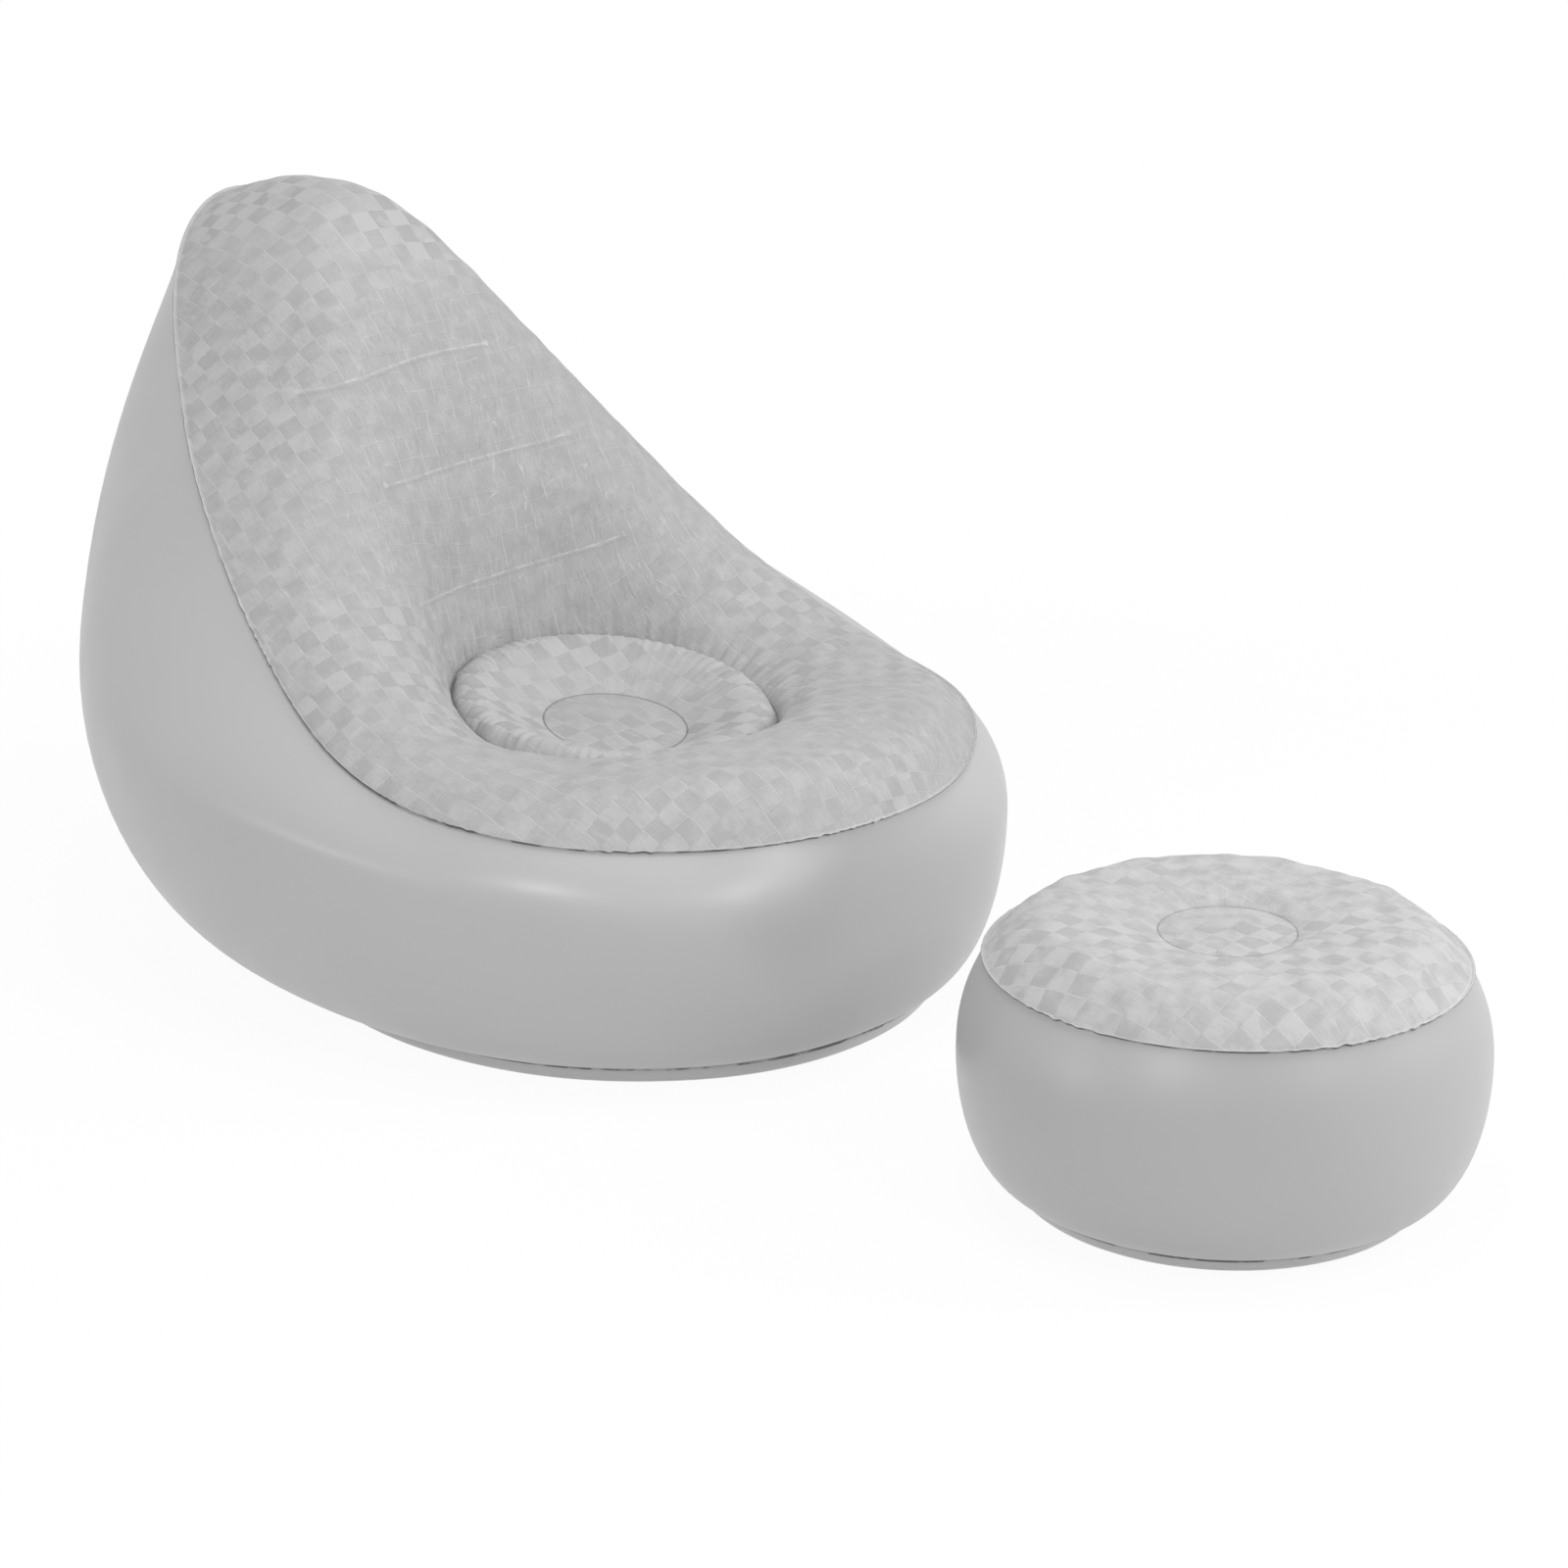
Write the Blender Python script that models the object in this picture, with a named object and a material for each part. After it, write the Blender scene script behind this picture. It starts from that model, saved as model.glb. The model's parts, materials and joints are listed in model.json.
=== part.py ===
"""Inflatable lounge chair with its round footrest.

Every piece is a separate welded sheet or moulded valve part, at its real size in metres.
The origin lies on the floor under the centre of the seat, +Z is up and the chair faces -Y.
"""

import math
from collections import namedtuple

import bmesh
import bpy
from mathutils import Matrix, Vector
from mathutils.bvhtree import BVHTree

# Sheets and their welds
SHEET_THICKNESS = 0.0004
SHEET_GAP = 0.0003
TOP_WELD_WIDTH = 0.005
BASE_WELD_WIDTH = 0.003
RING_WELD_DEPTH = 0.006

# Chair, over all
CHAIR_WIDTH = 0.994
CHAIR_LENGTH = 1.212
CHAIR_HEIGHT = 0.864
CHAIR_BASE_SEAM_HEIGHT = 0.026
CHAIR_PAN_INSET = 0.025

# Seat well, whose pad and disc lean forward with the seat
SEAT_PAD_RADIUS = 0.188
SEAT_PAD_WELD_HEIGHT = 0.313
SEAT_PAD_CROWN = 0.026
SEAT_DISC_RADIUS = 0.083
SEAT_DISC_SINK = 0.018
SEAT_DISC_CROWN = 0.006
SEAT_LEAN = math.radians(8.5)

# Bands that tie the back's two faces together
TIE_BAND_WIDTH = 0.270
TIE_BAND_GAP = 0.0008
TIE_BAND_FALL = math.radians(18)

# Footrest
OTTOMAN_DIAMETER = 0.542
OTTOMAN_HEIGHT = 0.2925
OTTOMAN_BASE_SEAM_HEIGHT = 0.021
OTTOMAN_PAN_INSET = 0.020
OTTOMAN_DISC_RADIUS = 0.070
OTTOMAN_DISC_SINK = 0.0135
OTTOMAN_DISC_CROWN = 0.004
OTTOMAN_SPACING = 0.892

# Chair valve: a wide bore for filling and emptying, with a press-in plug
VALVE_BORE_RADIUS = 0.0125
VALVE_NECK_WALL = 0.0020
VALVE_FLANGE_RADIUS = 0.022
VALVE_FLANGE_THICKNESS = 0.0010
VALVE_NECK_RISE = 0.0040
VALVE_LIP_WIDTH = 0.0015
VALVE_LIP_THICKNESS = 0.0025
PLUG_CLEARANCE = 0.0004
PLUG_DEPTH = 0.0070
PLUG_TAPER = 0.0009
PLUG_WALL = 0.0014
PLUG_PLATE_RADIUS = 0.0155
PLUG_PLATE_THICKNESS = 0.0012
STEM_BORE_RADIUS = 0.0045
STEM_WALL = 0.0015
STEM_DEPTH = 0.0062
FLAP_THICKNESS = 0.0006
FLAP_OVERLAP = 0.0010

# Stoppers that close the small bores
STOPPER_CLEARANCE = 0.0004
STOPPER_DEPTH = 0.0034
STOPPER_TAPER = 0.0006
STOPPER_HEAD_OVERLAP = 0.0030
STOPPER_HEAD_THICKNESS = 0.0012

# Straps and pull tabs
STRAP_WIDTH = 0.0060
STRAP_THICKNESS = 0.0009
STRAP_LENGTH = 0.0030
STRAP_ROOT = 0.0020
LUG_THICKNESS = 0.0024
TAB_LENGTH = 0.0040
TAB_WIDTH = 0.0070

# Footrest valve: a small bore with a stopper
OTTOMAN_FLANGE_RADIUS = 0.0120
OTTOMAN_NECK_RISE = 0.0030

# Fits
REST_GAP = 0.0003
CUT_OVERRUN = 0.010

# Outline of the chair at seven directions from the front, round the side, to the back:
# reach as a share of the plan ellipse's radius, height as a share of the chair's height
base_reach_share = (0.652, 0.673, 0.706, 0.716, 0.713, 0.717, 0.743)
widest_reach_share = (0.716, 0.797, 0.871, 0.954, 1.082, 1.159, 1.287)
widest_height_share = (0.197, 0.227, 0.264, 0.306, 0.341, 0.376, 0.422)
seam_reach_share = (0.700, 0.724, 0.798, 0.789, 0.789, 0.900, 1.089)
seam_height_share = (0.329, 0.328, 0.344, 0.380, 0.499, 0.726, 0.965)
crest_reach_share = (0.573, 0.589, 0.630, 0.640, 0.621, 0.631, 0.815)
crest_height_share = (0.401, 0.403, 0.389, 0.425, 0.546, 0.769, 1.000)

# Fullness of the seat well's foot at the same directions, as shares of the way to the crest
well_run_share = (0.05, 0.05, 0.13, 0.20, 0.12, 0.12, 0.12)
well_rise_share = (0.98, 0.93, 0.79, 0.35, 0.45, 0.45, 0.45)

# Outline of the footrest, as shares of its radius and of its height
ottoman_base_reach_share = 0.792
ottoman_widest_height_share = 0.513
ottoman_seam_reach_share = 0.900
ottoman_seam_height_share = 0.856
ottoman_crest_reach_share = 0.642
ottoman_well_foot_share = (0.12, 0.45)

# Heights of the three tie bands, as shares of the chair's height
tie_height_share = (0.515, 0.659, 0.789)
tie_names = ("lower", "middle", "upper")

# How full each stretch of the blown-up skin is, as shares of the stretch
round_share = 0.552
seam_run_share = (0.40, 0.25)
roll_rise_share = (0.30, 0.55)
roll_top_share = 0.50
well_top_share = 0.50
pan_foot_share = 0.60
pan_side_share = 0.45
pad_shoulder_share = (0.12, 1.54)
pad_slope_share = (0.55, 0.92)
disc_ring_share = 0.55
tab_corner_share = 0.35

# Faceting
CHAIR_COLUMNS = 48
OTTOMAN_COLUMNS = 36
TIE_BAND_STEPS = 24
VALVE_SIDES = 24
PAN_ROWS = 3
WALL_ROWS = 4
ROLL_ROWS = 3
WELL_ROWS = 6
PAD_ROWS = 6
STRAP_EDGE_SEGMENTS = 2
TAB_CORNER_SEGMENTS = 3
MERGE_DISTANCE = 0.000001
SMOOTH_ANGLE = math.radians(40)

Rings = namedtuple("Rings", "base widest seam crest well_foot")
Skin = namedtuple("Skin", "columns pan_inset rings place")
Loft = namedtuple("Loft", "bm start end face out")


def clear_scene():
    """Remove every object that the scene starts with."""
    for item in list(bpy.data.objects):
        bpy.data.objects.remove(item, do_unlink=True)


def finish(name, colour, roughness):
    """Plain plastic material."""
    material = bpy.data.materials.new(name)
    material.use_nodes = True
    shader = material.node_tree.nodes["Principled BSDF"]
    shader.inputs["Base Color"].default_value = (*colour, 1.0)
    shader.inputs["Roughness"].default_value = roughness
    shader.inputs["Metallic"].default_value = 0.0
    return material


def add_object(name, bm, material, place=None):
    """Turn a bmesh into a named object with smooth shading and one material."""
    mesh = bpy.data.meshes.new(name)
    bm.to_mesh(mesh)
    bm.free()
    mesh.shade_smooth()
    mesh.set_sharp_from_angle(angle=SMOOTH_ANGLE)
    mesh.materials.append(material)
    item = bpy.data.objects.new(name, mesh)
    bpy.context.scene.collection.objects.link(item)
    if place is not None:
        item.location = place.to_translation()
        item.rotation_euler = place.to_euler()
    return item


def add_wall(item):
    """Give a sheet its thickness, inwards from its outer face."""
    wall = item.modifiers.new("sheet", "SOLIDIFY")
    wall.thickness = SHEET_THICKNESS
    wall.offset = -1.0
    wall.use_even_offset = True
    wall.use_quality_normals = True
    return item


def add_boolean(item, tool, operation):
    """Join a tool to a piece or cut it from a piece, and keep the tool as a hidden guide."""
    tool.hide_render = True
    tool.display_type = "WIRE"
    step = item.modifiers.new(tool.name, "BOOLEAN")
    step.operation = operation
    step.solver = "EXACT"
    step.object = tool


# Outlines

def mirrored(shares, index):
    """Share at a station, where stations past the back repeat those on the way to it."""
    around = 2 * (len(shares) - 1)
    index = index % around
    return shares[min(index, around - index)]


def share_at(shares, direction):
    """Smooth share in any direction, through the shares at the even stations."""
    place = (direction % math.tau) / (math.pi / (len(shares) - 1))
    first = math.floor(place)
    t = place - first
    before, left, right, after = (mirrored(shares, first + step) for step in (-1, 0, 1, 2))
    value = (2 * t**3 - 3 * t**2 + 1) * left + (3 * t**2 - 2 * t**3) * right
    value += (t**3 - 2 * t**2 + t) * (right - before) / 2
    value += (t**3 - t**2) * (after - left) / 2
    return value


def chair_rings(direction):
    """Guiding rings of the chair, and its well's foot, in one direction."""
    across = math.sin(direction) / (CHAIR_WIDTH / 2)
    along = math.cos(direction) / (CHAIR_LENGTH / 2)
    ellipse = 1 / math.hypot(across, along)

    def ring(reach_share, height_share):
        """Point of one ring from its two tables of shares."""
        height = share_at(height_share, direction) * CHAIR_HEIGHT
        return Vector((share_at(reach_share, direction) * ellipse, height))

    base = Vector((share_at(base_reach_share, direction) * ellipse, CHAIR_BASE_SEAM_HEIGHT))
    widest = ring(widest_reach_share, widest_height_share)
    seam = ring(seam_reach_share, seam_height_share)
    crest = ring(crest_reach_share, crest_height_share)
    well_foot = (share_at(well_run_share, direction), share_at(well_rise_share, direction))
    return Rings(base, widest, seam, crest, well_foot)


def ottoman_rings(direction):
    """Guiding rings of the footrest, alike in every direction."""
    radius = OTTOMAN_DIAMETER / 2
    base = Vector((ottoman_base_reach_share * radius, OTTOMAN_BASE_SEAM_HEIGHT))
    widest = Vector((radius, ottoman_widest_height_share * OTTOMAN_HEIGHT))
    seam = Vector((ottoman_seam_reach_share * radius, ottoman_seam_height_share * OTTOMAN_HEIGHT))
    crest = Vector((ottoman_crest_reach_share * radius, OTTOMAN_HEIGHT))
    return Rings(base, widest, seam, crest, ottoman_well_foot_share)


def curve(start, first, second, end, steps):
    """Points of a cubic curve from its start to its end."""
    points = []
    for index in range(steps + 1):
        t = index / steps
        near = start * (1 - t)**3 + first * (3 * (1 - t)**2 * t)
        points.append(near + second * (3 * (1 - t) * t**2) + end * t**3)
    return points


def blend(start, end, reach_part, height_part):
    """Point that lies given parts of the way from start to end."""
    return Vector((start.x + (end.x - start.x) * reach_part, start.y + (end.y - start.y) * height_part))


def outward(travel):
    """Unit vector out of the skin, to the right of the way it is travelled."""
    return Vector((travel.y, -travel.x)).normalized()


def weld_fin(seam, below, above, width):
    """Corners and tips of the two sheets that meet in a flat weld fin, the lower sheet's first."""
    along = (outward(below) + outward(above)).normalized()
    apart = Vector((-along.y, along.x)) * (SHEET_THICKNESS + SHEET_GAP / 2)
    lower = seam - apart
    upper = seam + apart
    return (lower, lower + along * width), (upper, upper + along * width)


def base_fin(rings, pan_inset):
    """Weld fin between the base panel and the side wall."""
    foot = Vector((rings.base.x - pan_inset, 0))
    pan_side = blend(foot, rings.base, 1, pan_side_share)
    wall_foot = blend(rings.base, rings.widest, round_share, 0)
    return weld_fin(rings.base, rings.base - pan_side, wall_foot - rings.base, BASE_WELD_WIDTH)


def top_fin(rings):
    """Weld fin between the side wall and the top sheet."""
    wall_end = blend(rings.seam, rings.widest, *seam_run_share)
    roll_start = blend(rings.seam, rings.crest, *roll_rise_share)
    return weld_fin(rings.seam, rings.seam - wall_end, roll_start - rings.seam, TOP_WELD_WIDTH)


def pan_profile(rings, pan_inset):
    """Base panel's rim: up from the flat base to the base weld."""
    corner, tip = base_fin(rings, pan_inset)[0]
    foot = Vector((rings.base.x - pan_inset, 0))
    low = blend(foot, corner, pan_foot_share, 0)
    high = blend(foot, corner, 1, pan_side_share)
    return curve(foot, low, high, corner, PAN_ROWS) + [tip]


def wall_profile(rings, pan_inset):
    """Side wall: from the base weld round the bulge to the top weld."""
    low_corner, low_tip = base_fin(rings, pan_inset)[1]
    high_corner, high_tip = top_fin(rings)[0]
    widest = rings.widest
    lower = curve(low_corner, blend(low_corner, widest, round_share, 0),
                  blend(low_corner, widest, 1, 1 - round_share), widest, WALL_ROWS)
    upper = curve(widest, blend(widest, high_corner, 0, round_share),
                  blend(high_corner, widest, *seam_run_share), high_corner, WALL_ROWS)
    return [low_tip] + lower + upper[1:] + [high_tip]


def top_profile(rings, crease):
    """Top sheet: from the top weld over the roll and down to the ring weld."""
    corner, tip = top_fin(rings)[1]
    crest = rings.crest
    crease = crease + Vector((ring_weld_offset(), 0))
    roll = curve(corner, blend(corner, crest, *roll_rise_share),
                 blend(crest, corner, roll_top_share, 0), crest, ROLL_ROWS)
    well = curve(crest, blend(crest, crease, well_top_share, 0),
                 blend(crease, crest, *rings.well_foot), crease, WELL_ROWS)
    return [tip] + roll + well[1:] + [crease - Vector((0, RING_WELD_DEPTH))]


def ring_weld_offset():
    """Distance from the middle of a ring band to the face of the sheet beside it."""
    return SHEET_THICKNESS / 2 + SHEET_GAP


def seat_height(height, direction, radius):
    """Height of a point of the seat, which leans down towards the front."""
    return height - math.tan(SEAT_LEAN) * radius * math.cos(direction)


def pad_crease(direction):
    """Ring weld between the top sheet and the seat pad."""
    return Vector((SEAT_PAD_RADIUS, seat_height(SEAT_PAD_WELD_HEIGHT, direction, SEAT_PAD_RADIUS)))


def disc_crease(direction):
    """Ring weld between the seat pad and the seat disc."""
    height = SEAT_PAD_WELD_HEIGHT - SEAT_DISC_SINK
    return Vector((SEAT_DISC_RADIUS, seat_height(height, direction, SEAT_DISC_RADIUS)))


def ottoman_crease(direction):
    """Ring weld between the footrest's top sheet and its disc."""
    return Vector((OTTOMAN_DISC_RADIUS, OTTOMAN_HEIGHT - OTTOMAN_DISC_SINK))


def pad_profile(direction):
    """Seat pad: up from its outer ring weld, over its crown and down to the disc's."""
    outer = pad_crease(direction) - Vector((ring_weld_offset(), 0))
    inner = disc_crease(direction) + Vector((ring_weld_offset(), 0))
    width = outer.x - inner.x
    shoulder = outer + Vector((-width * pad_shoulder_share[0], SEAT_PAD_CROWN * pad_shoulder_share[1]))
    slope = inner + Vector((width * pad_slope_share[0], SEAT_PAD_CROWN * pad_slope_share[1]))
    hem = Vector((0, RING_WELD_DEPTH))
    return [outer - hem] + curve(outer, shoulder, slope, inner, PAD_ROWS) + [inner - hem]


def disc_profile(crease, crown, centre_height):
    """Small disc: up from its ring weld and in over its low crown."""
    edge = crease - Vector((ring_weld_offset(), 0))
    rim = Vector((edge.x * disc_ring_share, centre_height + (edge.y - centre_height) * disc_ring_share))
    rise = Vector((0, crown * (1 - disc_ring_share**2)))
    return [edge - Vector((0, RING_WELD_DEPTH)), edge, rim + rise]


def band_profile(crease):
    """Upright ring band: from just over the base panel to the ring weld."""
    radius = crease.x + SHEET_THICKNESS / 2
    return [Vector((radius, SHEET_THICKNESS + SHEET_GAP)), Vector((radius, crease.y - SHEET_GAP))]


# Sheets

def column_direction(vertex, columns):
    """Direction of the column of corners that a vertex belongs to."""
    step = math.tau / columns
    index = round(math.atan2(vertex.co.x, -vertex.co.y) / step - 0.5)
    return (index + 0.5) * step


def set_ring(vertices, columns, profile_at, row):
    """Move a ring of vertices to one row of the profiles."""
    for vertex in vertices:
        direction = column_direction(vertex, columns)
        point = profile_at(direction)[row]
        vertex.co = (point.x * math.sin(direction), -point.x * math.cos(direction), point.y)


def orient(made):
    """Make all faces of a loft agree, with its first face outwards."""
    made.bm.normal_update()
    bmesh.ops.recalc_face_normals(made.bm, faces=made.bm.faces)
    if made.face.normal.dot(made.out) < 0:
        bmesh.ops.reverse_faces(made.bm, faces=made.bm.faces)


def loft(columns, profile_at):
    """Skin of rings extruded one after the other along the profiles, open at both ends.

    The outer side lies to the right of the way in which a profile is travelled.
    """
    bm = bmesh.new()
    bmesh.ops.create_circle(bm, segments=columns, radius=1)
    bmesh.ops.rotate(bm, verts=bm.verts, matrix=Matrix.Rotation(math.pi / columns, 3, "Z"))
    set_ring(bm.verts, columns, profile_at, 0)
    start = bm.edges[:]
    end = start
    for row in range(1, len(profile_at(0))):
        made = bmesh.ops.extrude_edge_only(bm, edges=end)["geom"]
        ring = {item for item in made if isinstance(item, bmesh.types.BMVert)}
        set_ring(ring, columns, profile_at, row)
        edges = [item for item in made if isinstance(item, bmesh.types.BMEdge)]
        end = [edge for edge in edges if ring.issuperset(edge.verts)]
    direction = column_direction(start[0].verts[0], columns)
    profile = profile_at(direction)
    out = outward(profile[1] - profile[0])
    out = Vector((out.x * math.sin(direction), -out.x * math.cos(direction), out.y))
    result = Loft(bm, start, end, start[0].link_faces[0], out)
    orient(result)
    return result


def sheet(name, made, material, place):
    """Sheet of even thickness, whose two faces share one set of triangles."""
    bmesh.ops.triangulate(made.bm, faces=made.bm.faces, quad_method="SHORT_EDGE")
    return add_wall(add_object(name, made.bm, material, place))


def base_panel(name, skin, material):
    """Flat base with its low turned-up rim."""
    made = loft(skin.columns, lambda direction: pan_profile(skin.rings(direction), skin.pan_inset))
    bmesh.ops.contextual_create(made.bm, geom=made.start)
    orient(made)
    return sheet(name, made, material, skin.place)


def side_wall(name, skin, material):
    """Side wall, one strip that runs right round."""
    made = loft(skin.columns, lambda direction: wall_profile(skin.rings(direction), skin.pan_inset))
    return sheet(name, made, material, skin.place)


def top_sheet(name, skin, crease_at, material):
    """Top sheet, from the top weld to the ring weld."""
    made = loft(skin.columns, lambda direction: top_profile(skin.rings(direction), crease_at(direction)))
    return sheet(name, made, material, skin.place)


def ring_band(name, skin, crease_at, material):
    """Upright ring band that holds a ring weld down."""
    made = loft(skin.columns, lambda direction: band_profile(crease_at(direction)))
    return sheet(name, made, material, skin.place)


def disc(name, skin, crease_at, crown, material):
    """Small round sheet inside the innermost ring weld."""
    middle = (crease_at(0).y + crease_at(math.pi).y) / 2
    made = loft(skin.columns, lambda direction: disc_profile(crease_at(direction), crown, middle))
    cap = bmesh.ops.contextual_create(made.bm, geom=made.end)["faces"]
    for centre in bmesh.ops.poke(made.bm, faces=cap)["verts"]:
        centre.co.z = middle + crown
    orient(made)
    return sheet(name, made, material, skin.place)


def chamber_span(lounge, wall, start, travel):
    """Ends of the chamber behind the back, on a line through a point of the back."""
    reach = travel * CHAIR_LENGTH
    near = lounge.ray_cast(start - reach / 2, travel)[0]
    far = wall.ray_cast(start + reach, -travel)[0]
    middle = (near + far) / 2
    gap = travel * TIE_BAND_GAP
    return lounge.ray_cast(middle, -travel)[0] + gap, wall.ray_cast(middle, travel)[0] - gap


def tie_band(name, height, lounge, wall, material):
    """Flat band that falls back through the chamber, welded to the sheet on each side."""
    travel = Vector((0, math.cos(TIE_BAND_FALL), -math.sin(TIE_BAND_FALL)))
    centre = lounge.ray_cast(Vector((0, 0, height)), Vector((0, 1, 0)))[0]
    bm = bmesh.new()
    bmesh.ops.create_grid(bm, x_segments=TIE_BAND_STEPS, y_segments=1, size=1)
    for vertex in bm.verts:
        across = Vector((vertex.co.x * TIE_BAND_WIDTH / 2, 0, 0))
        front, rear = chamber_span(lounge, wall, centre + across, travel)
        vertex.co = rear if vertex.co.y > 0 else front
    return add_wall(add_object(name, bm, material))


# Valves

def valve_place(skin):
    """Place of a valve: the middle of the flat facet at the back, over the widest ring."""
    half_step = math.pi / skin.columns
    profile = wall_profile(skin.rings(math.pi - half_step), skin.pan_inset)
    widest = profile.index(skin.rings(math.pi - half_step).widest)
    low = Vector((0, profile[widest].x * math.cos(half_step), profile[widest].y))
    high = Vector((0, profile[widest + 1].x * math.cos(half_step), profile[widest + 1].y))
    rise = high - low
    lean = math.atan2(-rise.y, rise.z)
    turn = Matrix.Rotation(lean - math.pi / 2, 4, "X")
    return skin.place @ Matrix.Translation((low + high) / 2) @ turn


def turned(profile, hinge=Vector((0, 0, 0))):
    """Profile of radii and heights turned about the valve's axis, measured from a hinge."""
    bm = bmesh.new()
    corners = [bm.verts.new((radius, 0, height)) for radius, height in profile]
    pairs = list(zip(corners, corners[1:]))
    if profile[0][0] > 0:
        pairs.append((corners[-1], corners[0]))
    edges = [bm.edges.new(pair) for pair in pairs]
    bmesh.ops.spin(bm, geom=corners + edges, axis=(0, 0, 1), angle=math.tau, steps=VALVE_SIDES,
                   use_merge=True)
    bmesh.ops.remove_doubles(bm, verts=bm.verts, dist=MERGE_DISTANCE)
    bmesh.ops.recalc_face_normals(bm, faces=bm.faces)
    bmesh.ops.translate(bm, verts=bm.verts, vec=-hinge)
    return bm


def block(width, start, end, bottom, top, hinge=Vector((0, 0, 0))):
    """Box across the valve's axis, from start to end along its local Y."""
    bm = bmesh.new()
    bmesh.ops.create_cube(bm, size=1)
    bmesh.ops.scale(bm, verts=bm.verts, vec=(width, end - start, top - bottom))
    middle = Vector((0, (start + end) / 2, (bottom + top) / 2))
    bmesh.ops.translate(bm, verts=bm.verts, vec=middle - hinge)
    return bm


def round_edges(bm, wanted, size, rows):
    """Round the edges that a test picks."""
    edges = [edge for edge in bm.edges if wanted(edge)]
    bmesh.ops.bevel(bm, geom=edges, offset=size, offset_type="OFFSET", segments=rows, profile=0.5,
                    affect="EDGES", material=-1)
    return bm


def strap(hinge, root):
    """Strap from a plug's head to its hinge line, with a round end on the line."""
    half = STRAP_THICKNESS / 2
    bm = block(STRAP_WIDTH, hinge.y - half, -root, hinge.z - half, hinge.z + half, hinge)
    return round_edges(bm, lambda edge: all(v.co.y < 0 for v in edge.verts) and crosses(edge),
                       half * round_share, STRAP_EDGE_SEGMENTS)


def crosses(edge):
    """Whether an edge runs across the strap."""
    first, second = (v.co for v in edge.verts)
    return abs(first.x - second.x) > abs(first.y - second.y) + abs(first.z - second.z)


def tab(hinge, root, height):
    """Pull tab opposite the hinge, with round corners."""
    half = STRAP_THICKNESS / 2
    bm = block(TAB_WIDTH, root, root + STRAP_ROOT + TAB_LENGTH, height - half, height + half, hinge)
    end = root + STRAP_ROOT - hinge.y
    return round_edges(bm, lambda edge: all(v.co.y > end for v in edge.verts) and not crosses(edge),
                       TAB_WIDTH * tab_corner_share, TAB_CORNER_SEGMENTS)


def add_plug(name, bm, hinge, root, place, material):
    """Plug that swings on its strap: a turned head, the strap and a pull tab in one piece."""
    stand = place @ Matrix.Translation(hinge)
    item = add_object(name, bm, material, stand)
    for part, shape in (("strap", strap(hinge, root)), ("tab", tab(hinge, root, hinge.z))):
        add_boolean(item, add_object(name + "_" + part + "_guide", shape, material, stand), "UNION")
    return item


def lug(name, item, hinge, root, place, material):
    """Small lug on a valve's neck, under the strap's hinge line."""
    top = hinge.z - STRAP_THICKNESS / 2 - REST_GAP
    shape = block(STRAP_WIDTH, hinge.y - STRAP_THICKNESS, -root, top - LUG_THICKNESS, top)
    add_boolean(item, add_object(name, shape, material, place), "UNION")


def cut_hole(wall, radius, place, material):
    """Round hole through the side wall for a valve's neck."""
    reach = CUT_OVERRUN
    bm = turned([(0, -reach), (radius, -reach), (radius, reach), (0, reach)])
    add_boolean(wall, add_object(wall.name + "_valve_cutter", bm, material, place), "DIFFERENCE")


def valve_base_profile(bore, neck, flange, lip, rise, lip_bottom):
    """Section of a valve base: the flange under the wall, the neck through it and the lip."""
    flange_top = -(SHEET_THICKNESS + REST_GAP)
    flange_bottom = flange_top - VALVE_FLANGE_THICKNESS
    return [(bore, flange_bottom), (flange, flange_bottom), (flange, flange_top), (neck, flange_top),
            (neck, lip_bottom), (lip, lip_bottom), (lip, rise), (bore, rise)]


def stopper(name, bore, seat, place, material):
    """Stopper of a small bore. Returns the hinge's place in the valve's own frame."""
    head = bore + STOPPER_HEAD_OVERLAP
    bottom = seat + REST_GAP
    top = bottom + STOPPER_HEAD_THICKNESS
    hinge = Vector((0, -(head + STRAP_LENGTH), (bottom + top) / 2))
    wide = bore - STOPPER_CLEARANCE
    profile = [(0, seat - STOPPER_DEPTH), (wide - STOPPER_TAPER, seat - STOPPER_DEPTH), (wide, bottom),
               (head, bottom), (head, top), (0, top)]
    add_plug(name, turned(profile, hinge), hinge, head - STRAP_ROOT, place, material)
    return hinge


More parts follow.
